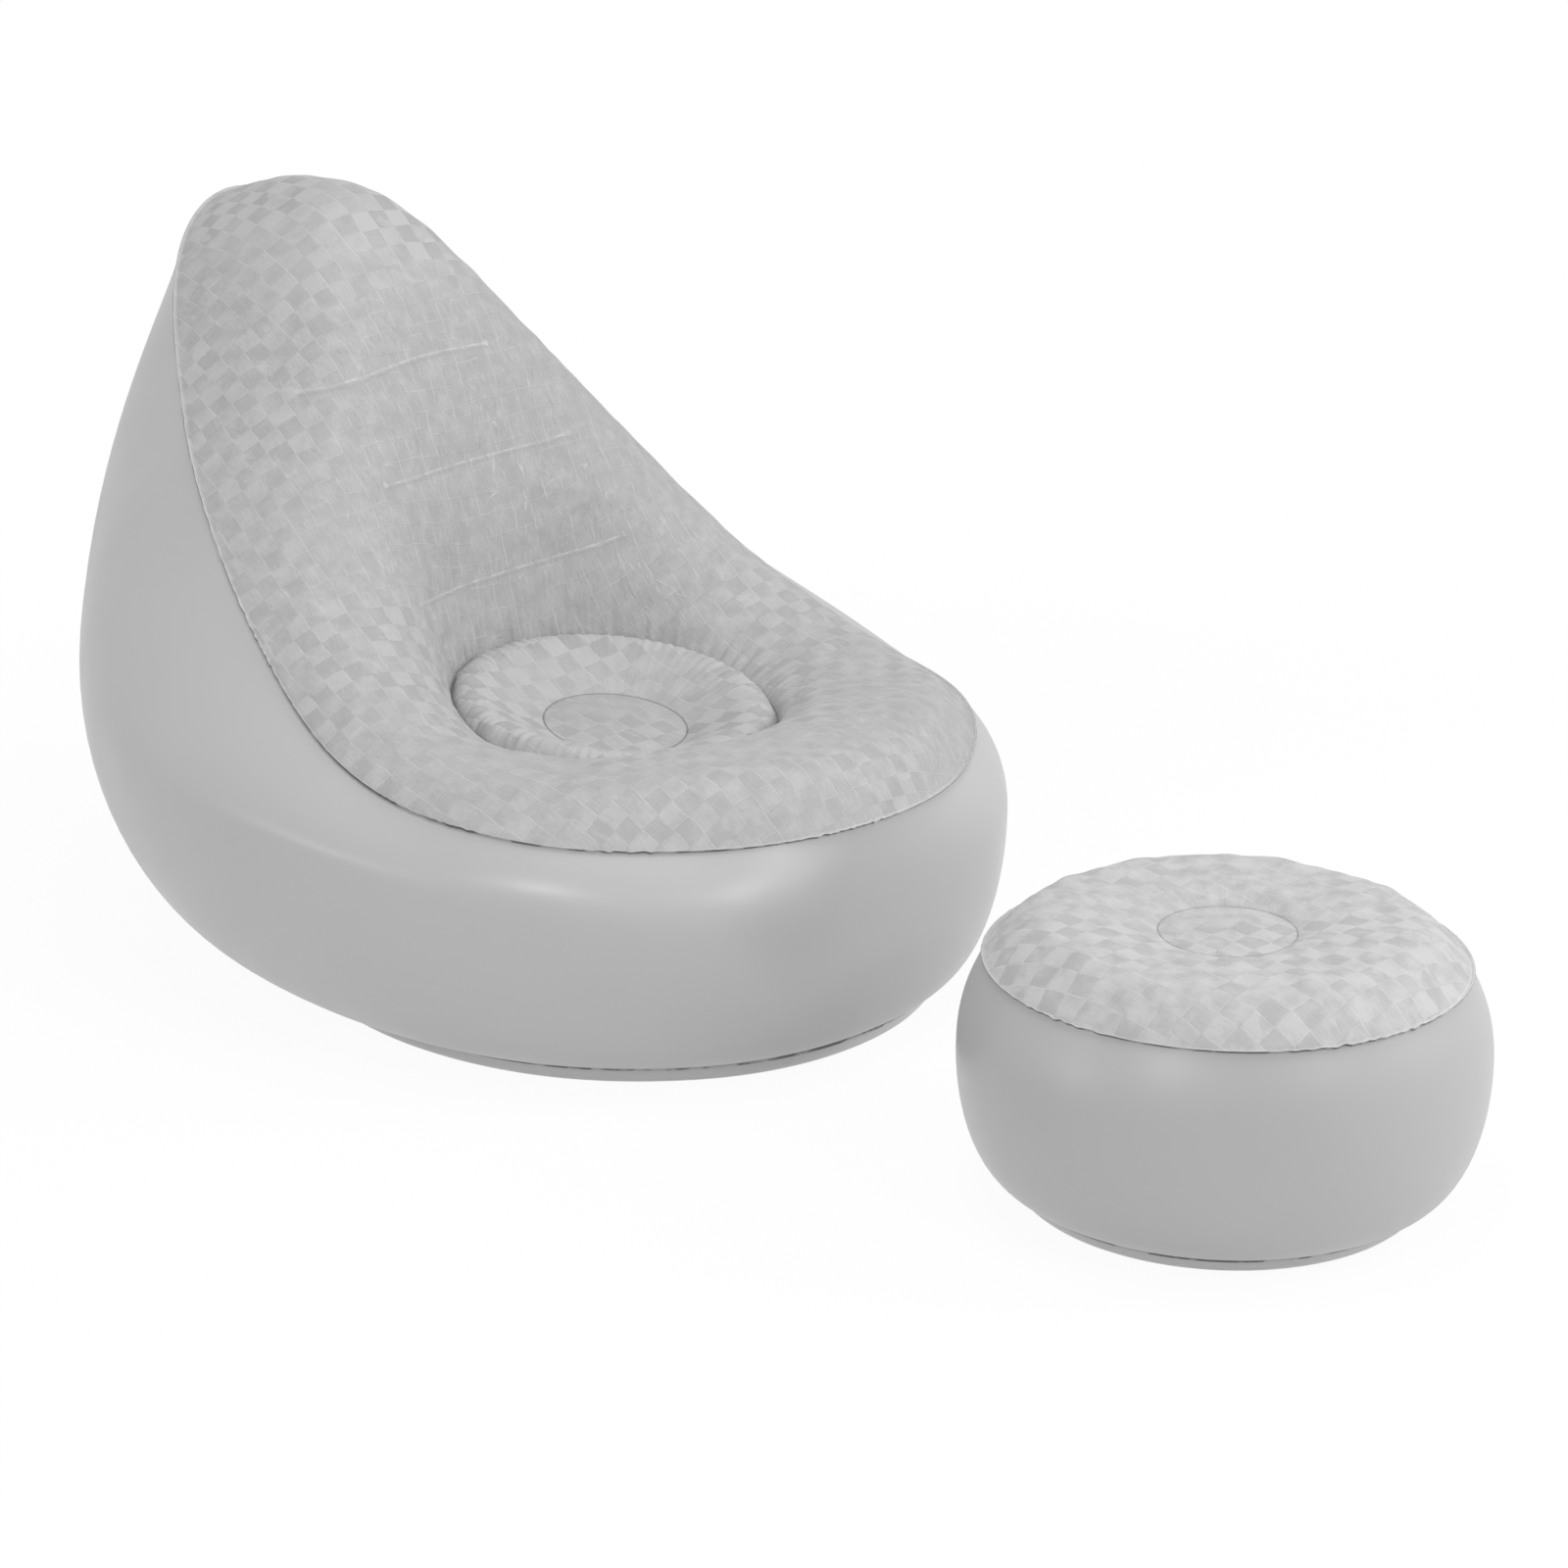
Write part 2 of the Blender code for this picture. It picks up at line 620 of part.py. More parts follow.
def chair_valve(skin, wall, material):
    """Two-stage valve: base, press-in plug, stopper and check flap."""
    place = valve_place(skin)
    neck = VALVE_BORE_RADIUS + VALVE_NECK_WALL
    lip = neck + VALVE_LIP_WIDTH
    cut_hole(wall, neck + REST_GAP, place, material)

    plate_bottom = VALVE_NECK_RISE + REST_GAP
    plate_top = plate_bottom + PLUG_PLATE_THICKNESS
    hinge = Vector((0, -(PLUG_PLATE_RADIUS + STRAP_LENGTH), (plate_bottom + plate_top) / 2))
    base = add_object("chair_valve_base", turned(valve_base_profile(
        VALVE_BORE_RADIUS, neck, VALVE_FLANGE_RADIUS, lip, VALVE_NECK_RISE,
        VALVE_NECK_RISE - VALVE_LIP_THICKNESS)), material, place)
    lug("chair_valve_lug_guide", base, hinge, (neck + lip) / 2, place, material)

    plug = VALVE_BORE_RADIUS - PLUG_CLEARANCE
    foot = plate_bottom - PLUG_DEPTH
    stem = STEM_BORE_RADIUS + STEM_WALL
    stem_foot = plate_top - STEM_DEPTH
    section = [(STEM_BORE_RADIUS, plate_top), (PLUG_PLATE_RADIUS, plate_top),
               (PLUG_PLATE_RADIUS, plate_bottom), (plug, plate_bottom), (plug - PLUG_TAPER, foot),
               (plug - PLUG_TAPER - PLUG_WALL, foot), (plug - PLUG_WALL, plate_bottom),
               (stem, plate_bottom), (stem, stem_foot), (STEM_BORE_RADIUS, stem_foot)]
    add_plug("chair_valve_plug", turned(section, hinge), hinge, PLUG_PLATE_RADIUS - STRAP_ROOT,
             place, material)

    stopper("chair_valve_stopper", STEM_BORE_RADIUS, plate_top, place, material)

    flap_top = stem_foot - REST_GAP
    flap_radius = stem + FLAP_OVERLAP
    flap_hinge = Vector((0, -flap_radius, flap_top - FLAP_THICKNESS / 2))
    flap = turned([(0, flap_top - FLAP_THICKNESS), (flap_radius, flap_top - FLAP_THICKNESS),
                   (flap_radius, flap_top), (0, flap_top)], flap_hinge)
    add_object("chair_valve_flap", flap, material, place @ Matrix.Translation(flap_hinge))


def ottoman_valve(skin, wall, material):
    """Small filling valve: a base with a narrow bore, and its stopper."""
    place = valve_place(skin)
    neck = STEM_BORE_RADIUS + STEM_WALL
    cut_hole(wall, neck + REST_GAP, place, material)
    base = add_object("ottoman_valve_base", turned(valve_base_profile(
        STEM_BORE_RADIUS, neck, OTTOMAN_FLANGE_RADIUS, neck + VALVE_LIP_WIDTH, OTTOMAN_NECK_RISE,
        OTTOMAN_NECK_RISE - STOPPER_HEAD_THICKNESS)), material, place)
    hinge = stopper("ottoman_valve_stopper", STEM_BORE_RADIUS, OTTOMAN_NECK_RISE, place, material)
    lug("ottoman_valve_lug_guide", base, hinge, neck - STEM_WALL / 2, place, material)


# Assemblies

def make_chair(vinyl, flock, band, moulding):
    """All pieces of the chair."""
    skin = Skin(CHAIR_COLUMNS, CHAIR_PAN_INSET, chair_rings, Matrix.Identity(4))
    base_panel("chair_base_panel", skin, vinyl)
    wall = side_wall("chair_side_wall", skin, vinyl)
    lounge = top_sheet("chair_lounge_panel", skin, pad_crease, flock)
    pad = loft(skin.columns, pad_profile)
    sheet("chair_seat_ring_pad", pad, flock, skin.place)
    disc("chair_seat_disc", skin, disc_crease, SEAT_DISC_CROWN, flock)
    ring_band("chair_seat_ring_band", skin, pad_crease, band)
    ring_band("chair_seat_disc_band", skin, disc_crease, band)

    bpy.context.view_layer.update()
    graph = bpy.context.evaluated_depsgraph_get()
    lounge_tree = BVHTree.FromObject(lounge, graph)
    wall_tree = BVHTree.FromObject(wall, graph)
    for name, share in zip(tie_names, tie_height_share):
        tie_band("chair_back_tie_band_" + name, share * CHAIR_HEIGHT, lounge_tree, wall_tree, band)
    chair_valve(skin, wall, moulding)


def make_ottoman(vinyl, flock, band, moulding):
    """All pieces of the footrest."""
    place = Matrix.Translation((0, -OTTOMAN_SPACING, 0))
    skin = Skin(OTTOMAN_COLUMNS, OTTOMAN_PAN_INSET, ottoman_rings, place)
    base_panel("ottoman_base_panel", skin, vinyl)
    wall = side_wall("ottoman_side_wall", skin, vinyl)
    top_sheet("ottoman_top_panel", skin, ottoman_crease, flock)
    disc("ottoman_disc", skin, ottoman_crease, OTTOMAN_DISC_CROWN, flock)
    ring_band("ottoman_disc_band", skin, ottoman_crease, band)
    ottoman_valve(skin, wall, moulding)


def main():
    """Build the chair and its footrest."""
    clear_scene()
    vinyl = finish("satin_vinyl", (0.43, 0.43, 0.43), 0.45)
    flock = finish("flocked_vinyl", (0.50, 0.50, 0.50), 0.95)
    band = finish("band_vinyl", (0.55, 0.55, 0.56), 0.5)
    moulding = finish("valve_plastic", (0.60, 0.60, 0.61), 0.4)
    make_chair(vinyl, flock, band, moulding)
    make_ottoman(vinyl, flock, band, moulding)


main()
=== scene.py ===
"""Looks of the inflatable lounge chair and its round footrest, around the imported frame.

Every sheet is modelled blown up: its weld fins, gathers, wrinkles and dimples are in the mesh,
and its flock, embossed checker and satin are in the materials. Sizes are in metres.
"""

import json
import logging
import math
from collections.abc import Sequence
from dataclasses import dataclass, field
from enum import Enum

import bmesh
import bpy
import numpy as np
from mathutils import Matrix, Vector
from mathutils.bvhtree import BVHTree


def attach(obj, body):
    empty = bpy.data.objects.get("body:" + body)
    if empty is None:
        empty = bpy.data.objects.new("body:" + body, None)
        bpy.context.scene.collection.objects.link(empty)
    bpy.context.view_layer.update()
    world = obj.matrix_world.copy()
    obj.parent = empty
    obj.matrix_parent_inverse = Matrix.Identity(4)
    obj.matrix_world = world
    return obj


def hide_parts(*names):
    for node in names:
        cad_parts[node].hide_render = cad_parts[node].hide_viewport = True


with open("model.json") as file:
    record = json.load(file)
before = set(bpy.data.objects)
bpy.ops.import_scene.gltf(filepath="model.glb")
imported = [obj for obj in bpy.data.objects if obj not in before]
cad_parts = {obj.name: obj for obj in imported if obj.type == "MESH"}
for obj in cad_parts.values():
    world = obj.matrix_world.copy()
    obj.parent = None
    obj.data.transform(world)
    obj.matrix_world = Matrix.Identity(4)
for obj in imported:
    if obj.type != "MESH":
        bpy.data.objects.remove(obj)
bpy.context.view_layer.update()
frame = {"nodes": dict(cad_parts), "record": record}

LOG = logging.getLogger("inflatable_chair")

SHEET_THICKNESS = 0.0004
SHEET_GAP = 0.0003
TOP_WELD_WIDTH = 0.0038
BASE_WELD_WIDTH = 0.003
RING_WELD_DEPTH = 0.006
WELD_REACH = 0.02
OTTOMAN_SPACING = 0.892
MERGE_DISTANCE = 0.000001
SHARP_ANGLE = math.radians(50)
FIN_ROWS = 3
HEM_ROWS = 3
PAD_COLUMNS = 480
DISC_COLUMNS = 240

Array = np.ndarray
Socket = bpy.types.NodeSocket


class Slot(Enum):
    """Material slots of the record."""

    SATIN = "satin_vinyl"
    FLOCK = "flocked_vinyl"
    BAND = "band_vinyl"
    MOULDING = "valve_plastic"


class Body(Enum):
    """Bodies that the pieces ride on."""

    CHAIR = "chair"
    OTTOMAN = "ottoman"


# Outlines


def share_at(shares: tuple[float, ...], direction: Array) -> Array:
    """Smooth shares in any direction, through the shares at even stations from front to back.

    Args:
        shares: one share for each station.
        direction: angles from the front, in radians.

    Returns:
        The share in each direction.
    """
    table = np.array(shares + shares[-2:0:-1])
    place = np.mod(direction, math.tau) / (math.tau / len(table))
    first = np.floor(place).astype(int)
    t = place - first
    before, left, right, after = (table[(first + step) % len(table)] for step in (-1, 0, 1, 2))
    value = (2 * t**3 - 3 * t**2 + 1) * left + (3 * t**2 - 2 * t**3) * right
    return value + (t**3 - 2 * t**2 + t) * (right - before) / 2 + (t**3 - t**2) * (after - left) / 2


def curve(corners: Sequence[Array], t: Array) -> Array:
    """Points of cubic curves.

    Args:
        corners: start, two handles and end, each with one row for each direction.
        t: places along the curves, from 0 to 1.

    Returns:
        Points by direction, place along the curve, and reach or height.
    """
    start, first, second, end = (corner[:, None, :] for corner in corners)
    t = t[None, :, None]
    return start * (1 - t) ** 3 + 3 * first * (1 - t) ** 2 * t + 3 * second * (1 - t) * t**2 + end * t**3


def blend(start: Array, end: Array, reach_part: float, height_part: float) -> Array:
    """Points that lie given parts of the way from start to end."""
    return start + (end - start) * np.array((reach_part, height_part))


def between(start: Array, end: Array, parts: Array) -> Array:
    """Points that lie given parts of the way, one pair of parts for each direction."""
    return start + (end - start) * parts


def unit(vectors: Array) -> Array:
    """Vectors of length one."""
    return vectors / np.maximum(np.linalg.norm(vectors, axis=-1, keepdims=True), 1e-12)


def outward(travel: Array) -> Array:
    """Directions out of the skin, to the right of the way it is travelled."""
    return unit(np.stack((travel[..., 1], -travel[..., 0]), -1))


def eased(rows: int, power: float) -> Array:
    """Even places from 0 to 1, drawn closer together towards 1."""
    return 1 - (1 - np.linspace(0, 1, rows + 1)) ** power


def smooth(value: Array, low: float, high: float) -> Array:
    """Smooth step from 0 at low to 1 at high."""
    t = np.clip((value - low) / (high - low), 0, 1)
    return t * t * (3 - 2 * t)


def even_directions(columns: int) -> Array:
    """Directions of evenly spaced columns, in radians from the front."""
    return np.arange(columns) * math.tau / columns


def along_profile(points: Array, row: int) -> Array:
    """Distance along each profile from one of its rows."""
    steps = np.linalg.norm(np.diff(points, axis=1), axis=-1)
    run = np.concatenate((np.zeros((len(points), 1)), np.cumsum(steps, axis=1)), axis=1)
    return np.abs(run - run[:, [row]])


def from_weld_row(points: Array, row: int) -> Array:
    """Distance along each profile from a weld's row, and 0 on the fin or hem beyond it.

    Args:
        points: the profiles, by direction and row.
        row: the weld's row, counted from the start, or from the end if it is negative.

    Returns:
        The distances, by direction and row.
    """
    distance = along_profile(points, row)
    distance[:, slice(0, row) if row > 0 else slice(row, None)] = 0
    return distance


def soft_spot(first: Array, second: Array, centre: tuple[float, float], radius: float) -> Array:
    """Round spot with a soft edge on two coordinates, 1 at its centre."""
    return np.exp(-(((first - centre[0]) / radius) ** 2 + ((second - centre[1]) / radius) ** 2) ** 2)


@dataclass(frozen=True)
class Ripples:
    """Smooth random relief, a seeded sum of waves."""

    seed: int
    shortest: float
    longest: float
    count: int = 28

    def at(self, points: Array) -> Array:
        """Relief at points in space, about -1 to 1, with wavelengths in metres."""
        draw = np.random.default_rng(self.seed)
        total = np.zeros(points.shape[:-1])
        for _ in range(self.count):
            way = unit(draw.normal(size=points.shape[-1]))
            pitch = math.tau / draw.uniform(self.shortest, self.longest)
            total += np.cos(points @ way * pitch + draw.uniform(0, math.tau))
        return total / math.sqrt(self.count)

    def round_ring(self, direction: Array, length: float) -> Array:
        """Relief round a closed ring of a given length, which meets itself."""
        draw = np.random.default_rng(self.seed)
        total = np.zeros(direction.shape)
        for _ in range(self.count):
            waves = round(length / draw.uniform(self.shortest, self.longest))
            total += np.cos(direction * waves + draw.uniform(0, math.tau))
        return total / math.sqrt(self.count)


@dataclass(frozen=True)
class Rings:
    """Reach and height of the guiding rings, one row for each direction."""

    base: Array
    widest: Array
    seam: Array
    crest: Array
    well_foot: Array


@dataclass(frozen=True)
class Fullness:
    """How full each stretch of the blown-up skin is, as shares of the stretch."""

    bulge: float = 0.552
    seam_run: tuple[float, float] = (0.40, 0.25)
    roll_rise: tuple[float, float] = (0.30, 0.55)
    roll_top: float = 0.50
    well_top: float = 0.50
    pan_foot: float = 0.60
    pan_side: float = 0.45


@dataclass
class Patch:
    """Grid of points of one sheet, by direction and row, with what its material reads."""

    points: Array
    flat: Array
    polar: Array
    mark: Array
    wear: Array
    weld: Array


class Skin:
    """Blown-up envelope: base pan, side wall and top sheet between their welds."""

    wall_crowding = 1.3
    roll_crowding = 1.2
    well_crowding = 1.25

    def __init__(self, columns: int, pan_inset: float, fullness: Fullness) -> None:
        """Settle the directions of the columns.

        Args:
            columns: number of columns of the meshes.
            pan_inset: how far the flat base lies inside the base weld.
            fullness: shares that shape the curves.
        """
        self.columns = columns
        self.pan_inset = pan_inset
        self.full = fullness
        self.direction = even_directions(columns)
        self.rings = self.guide(self.direction)
        self.base_fin = self._base_fin()
        self.top_fin = self._top_fin()

    def guide(self, direction: Array) -> Rings:
        """Guiding rings in some directions; each envelope gives its own."""
        raise NotImplementedError

    def _fin(self, seam: Array, below: Array, above: Array, width: float) -> tuple[Array, Array, Array]:
        """Corners, tips' direction and the way apart of the two sheets of a weld fin.

        Args:
            seam: the weld's own ring.
            below: travel of the sheet below as it arrives.
            above: travel of the sheet above as it leaves.
            width: width of the fin.

        Returns:
            The seam, the vectors from corner to tip, and from the middle to the upper sheet.
        """
        along = unit(outward(below) + outward(above))
        apart = np.stack((-along[:, 1], along[:, 0]), -1) * (SHEET_THICKNESS + SHEET_GAP / 2)
        return seam, along * width, apart

    def _base_fin(self) -> tuple[Array, Array, Array]:
        """Fin between the base panel and the side wall."""
        rings = self.rings
        foot = np.stack((rings.base[:, 0] - self.pan_inset, np.zeros(self.columns)), -1)
        pan_side = blend(foot, rings.base, 1, self.full.pan_side)
        wall_foot = blend(rings.base, rings.widest, self.full.bulge, 0)
        return self._fin(rings.base, rings.base - pan_side, wall_foot - rings.base, BASE_WELD_WIDTH)

    def _top_fin(self) -> tuple[Array, Array, Array]:
        """Fin between the side wall and the top sheet."""
        rings = self.rings
        wall_end = blend(rings.seam, rings.widest, *self.full.seam_run)
        roll_start = blend(rings.seam, rings.crest, *self.full.roll_rise)
        return self._fin(rings.seam, rings.seam - wall_end, roll_start - rings.seam, TOP_WELD_WIDTH)

    def pan(self, rows: int) -> Array:
        """Base panel's profile: out over the flat, up the rim and out along the fin."""
        seam, tip, apart = self.base_fin
        corner = seam - apart
        foot = np.stack((self.rings.base[:, 0] - self.pan_inset, np.zeros(self.columns)), -1)
        middle = np.zeros_like(foot)
        rim = curve((foot, blend(foot, corner, self.full.pan_foot, 0),
                     blend(foot, corner, 1, self.full.pan_side), corner), np.linspace(0, 1, rows + 1))
        flat = curve((middle, middle, foot, foot), np.linspace(0, 1, rows + 1))
        return np.concatenate((flat[:, :-1], rim, fin_rows(corner, tip)[:, 1:]), axis=1)

    def wall(self, rows: int) -> Array:
        """Side wall's profile: in along the base fin, round the bulge and out along the top fin."""
        low_seam, low_tip, low_apart = self.base_fin
        high_seam, high_tip, high_apart = self.top_fin
        low, high, widest = low_seam + low_apart, high_seam - high_apart, self.rings.widest
        bulge = self.full.bulge
        lower = curve((low, blend(low, widest, bulge, 0), blend(low, widest, 1, 1 - bulge), widest),
                      1 - eased(rows, self.wall_crowding)[::-1])
        upper = curve((widest, blend(widest, high, 0, bulge), blend(high, widest, *self.full.seam_run), high),
                      eased(rows, self.wall_crowding))
        return np.concatenate((fin_rows(low, low_tip)[:, :0:-1], lower, upper[:, 1:],
                               fin_rows(high, high_tip)[:, 1:]), axis=1)

    def top(self, crease: Array, roll_rows: int, well_rows: int) -> Array:
        """Top sheet's profile: in along the fin, over the roll and down to the ring weld."""
        seam, tip, apart = self.top_fin
        corner, crest = seam + apart, self.rings.crest
        roll = curve((corner, blend(corner, crest, *self.full.roll_rise),
                      blend(crest, corner, self.full.roll_top, 0), crest),
                     1 - eased(roll_rows, self.roll_crowding)[::-1])
        well = curve((crest, blend(crest, crease, self.full.well_top, 0),
                      between(crease, crest, self.rings.well_foot), crease),
                     eased(well_rows, self.well_crowding))
        return np.concatenate((fin_rows(corner, tip)[:, :0:-1], roll, well[:, 1:], hem_rows(crease)), axis=1)


def fin_rows(corner: Array, tip: Array) -> Array:
    """Rows from a fin's corner to its tip."""
    return corner[:, None] + tip[:, None] * np.linspace(0, 1, FIN_ROWS + 1)[None, :, None]


def hem_rows(crease: Array) -> Array:
    """Rows down the hem of a ring weld, below its crease."""
    drop = np.linspace(0, RING_WELD_DEPTH, HEM_ROWS + 1)[1:]
    return crease[:, None] - np.stack((np.zeros(HEM_ROWS), drop), -1)[None]


def in_space(profile: Array, direction: Array) -> Array:
    """Points in space of a profile's reaches and heights."""
    reach, height = profile[..., 0], profile[..., 1]
    turn = direction[:, None]
    return np.stack((reach * np.sin(turn), -reach * np.cos(turn), height), -1)


def normals_of(points: Array) -> Array:
    """Outward normals of a closed grid of points, by direction and row."""
    round_way = np.roll(points, -1, axis=0) - np.roll(points, 1, axis=0)
    up_way = np.gradient(points, axis=1)
    return unit(np.cross(round_way, up_way))


class ChairSkin(Skin):
    """Envelope of the chair."""

    width = 0.994
    length = 1.212
    height = 0.864
    base_height = 0.026
    base_reach_share = (0.652, 0.673, 0.706, 0.716, 0.713, 0.717, 0.743)
    widest_reach_share = (0.716, 0.797, 0.871, 0.954, 1.082, 1.159, 1.287)
    widest_height_share = (0.197, 0.227, 0.264, 0.306, 0.341, 0.376, 0.422)
    seam_reach_share = (0.700, 0.724, 0.798, 0.789, 0.789, 0.900, 1.089)
    seam_height_share = (0.329, 0.328, 0.344, 0.380, 0.499, 0.726, 0.965)
    crest_reach_share = (0.573, 0.589, 0.630, 0.640, 0.621, 0.631, 0.815)
    crest_height_share = (0.401, 0.403, 0.389, 0.425, 0.546, 0.769, 1.000)
    well_run_share = (0.05, 0.05, 0.13, 0.20, 0.12, 0.12, 0.12)
    well_rise_share = (0.98, 0.93, 0.79, 0.35, 0.45, 0.45, 0.45)

    def guide(self, direction: Array) -> Rings:
        """Guiding rings from the tables of shares."""
        ellipse = 1 / np.hypot(np.sin(direction) / (self.width / 2), np.cos(direction) / (self.length / 2))

        def ring(reach: tuple[float, ...], height: tuple[float, ...]) -> Array:
            """One ring from its two tables."""
            return np.stack((share_at(reach, direction) * ellipse, share_at(height, direction) * self.height), -1)

        base_reach = share_at(self.base_reach_share, direction) * ellipse
        base = np.stack((base_reach, np.full(len(direction), self.base_height)), -1)
        foot = np.stack((share_at(self.well_run_share, direction), share_at(self.well_rise_share, direction)), -1)
        return Rings(base, ring(self.widest_reach_share, self.widest_height_share),
                     ring(self.seam_reach_share, self.seam_height_share),
                     ring(self.crest_reach_share, self.crest_height_share), foot)


class OttomanSkin(Skin):
    """Envelope of the footrest, alike in every direction."""

    radius = 0.271
    height = 0.2925
    base_height = 0.021
    base_reach_share = 0.792
    widest_height_share = 0.513
    seam_reach_share = 0.900
    seam_height_share = 0.856
    crest_reach_share = 0.642
    well_foot_share = (0.12, 0.45)

    def guide(self, direction: Array) -> Rings:
        """Guiding rings from the shares of radius and height."""

        def ring(reach: float, height: float) -> Array:
            """One level ring."""
            return np.tile((reach, height), (len(direction), 1))

        return Rings(ring(self.base_reach_share * self.radius, self.base_height),
                     ring(self.radius, self.widest_height_share * self.height),
                     ring(self.seam_reach_share * self.radius, self.seam_height_share * self.height),
                     ring(self.crest_reach_share * self.radius, self.height), ring(*self.well_foot_share))


class FlatPattern:
    """Flat coordinates of the embossed sheet, relaxed over the blown-up top.

    A step over the surface should change them by the parts of the step that go across and along the
    sheet. Least squares spread what the curved surface makes impossible. Each pass then turns the
    sheet's own directions to what came out, so that the embossed squares keep their size and shape.
    """

    passes = 14
    rounds = 130
    stiffest = 30.0
    least = 1e-9

    def __init__(self, profiles: Sequence[Array], direction: Array) -> None:
        """Relax the coordinates.

        Args:
            profiles: profiles that follow one another from the middle to the rim.
            direction: directions of the profiles.
        """
        self.stops = np.cumsum([0] + [profile.shape[1] for profile in profiles])
        points = in_space(np.concatenate(profiles, axis=1), direction)
        frames = self._frames(normals_of(points))
        round_step = np.roll(points, -1, axis=0) - points
        row_step = np.diff(points, axis=1)
        round_length = np.linalg.norm(round_step, axis=-1, keepdims=True)
        row_length = np.linalg.norm(row_step, axis=-1, keepdims=True)
        row_span = np.pad(row_length, ((0, 0), (1, 1), (0, 0)), mode="edge")
        row_span = (row_span[:, 1:] + row_span[:, :-1]) / 2
        round_span = (round_length[:, 1:] + round_length[:, :-1]) / 2
        limits = (1 / self.stiffest, self.stiffest)
        self.round_weight = np.clip(row_span / (round_length + self.least), *limits)
        self.row_weight = np.clip(round_span / (row_length + self.least), *limits)
        self.place = points[..., :2]
        for _ in range(self.passes):
            round_goal = np.einsum("ijk,ijkl->ijl", round_step, (np.roll(frames, -1, axis=0) + frames) / 2)
            row_goal = np.einsum("ijk,ijkl->ijl", row_step, (frames[:, 1:] + frames[:, :-1]) / 2)
            goal = self._gathered(self.round_weight * round_goal, self.row_weight * row_goal)
            self.place = self._relaxed(self.place, goal)
            frames = self._turned(frames, round_goal, row_goal)

    @staticmethod
    def _frames(normal: Array) -> Array:
        """Square pair of tangents at each point: across the chair and straight from front to back."""
        side = np.array((1.0, 0.0, 0.0))
        across = unit(side - normal * (normal @ side)[..., None])
        along = unit(np.cross(normal, across))
        return np.stack((across, along * np.sign(along[..., 1:2] + FlatPattern.least)), -1)

    def _turned(self, frames: Array, round_goal: Array, row_goal: Array) -> Array:
        """Tangents turned in the surface to suit the coordinates that came out."""
        round_gap = np.roll(self.place, -1, axis=0) - self.place
        row_gap = np.diff(self.place, axis=1)
        parts = []
        for goal, gap, weight in ((round_goal, round_gap, self.round_weight), (row_goal, row_gap, self.row_weight)):
            agree = (goal * gap).sum(axis=-1, keepdims=True)
            cross = goal[..., :1] * gap[..., 1:] - goal[..., 1:] * gap[..., :1]
            parts.append(np.concatenate((agree, cross), axis=-1) * weight)
        total = parts[0] + np.roll(parts[0], 1, axis=0)
        total[:, :-1] += parts[1]
        total[:, 1:] += parts[1]
        cosine, sine = np.moveaxis(unit(total), -1, 0)[..., None]
        across, along = frames[..., 0], frames[..., 1]
        return np.stack((cosine * across - sine * along, sine * across + cosine * along), -1)

    @staticmethod
    def _gathered(round_flow: Array, row_flow: Array) -> Array:
        """What the links bring to each point, less what they take from it."""
        total = np.roll(round_flow, 1, axis=0) - round_flow
        total[:, :-1] -= row_flow
        total[:, 1:] += row_flow
        return total

    def _pull(self, place: Array) -> Array:
        """Pull of the links on each point."""
        return self._gathered(self.round_weight * (np.roll(place, -1, axis=0) - place),
                              self.row_weight * np.diff(place, axis=1))

    def _relaxed(self, place: Array, goal: Array) -> Array:
        """Coordinates whose pull meets the goal, by conjugate gradients, with the middle at zero."""
        scale = self.round_weight + np.roll(self.round_weight, 1, axis=0)
        scale[:, :-1] += self.row_weight
        scale[:, 1:] += self.row_weight
        rest = goal - self._pull(place)
        way = rest / scale
        power = (rest * way).sum()
        for _ in range(self.rounds):
            drawn = self._pull(way)
            step = power / (way * drawn).sum()
            place = place + step * way
            rest = rest - step * drawn
            last, power = power, (rest * rest / scale).sum()
            way = rest / scale + way * (power / last)
        return place - place[:1, :1]

    def at(self, part: int, direction: Array, before: int = 0, after: int = 0) -> Array:
        """Coordinates of one of the profiles in other directions.

        Args:
            part: number of the profile, from the middle.
            direction: directions wanted.
            before: how often the innermost row is repeated.
            after: how often the outermost row is repeated.

        Returns:
            Points of the flat sheet by direction and row.
        """
        table = self.place[:, self.stops[part]:self.stops[part + 1]]
        turn = np.mod(direction, math.tau) / math.tau * len(table)
        low = np.floor(turn + self.least).astype(int)
        share = (turn - low)[:, None, None]
        value = table[low % len(table)] * (1 - share) + table[(low + 1) % len(table)] * share
        return np.pad(value, ((0, 0), (before, after), (0, 1)), mode="edge") * np.array((1.0, 1.0, 0.0))


# Meshes


def finished_mesh(bm: bmesh.types.BMesh, name: str) -> bpy.types.Mesh:
    """New mesh from a bmesh, which is freed."""
    mesh = bpy.data.meshes.new(name)
    bm.to_mesh(mesh)
    bm.free()
    return mesh


def linked_object(name: str, data: bpy.types.ID) -> bpy.types.Object:
    """New object in the scene."""
    item = bpy.data.objects.new(name, data)
    bpy.context.scene.collection.objects.link(item)
    return item


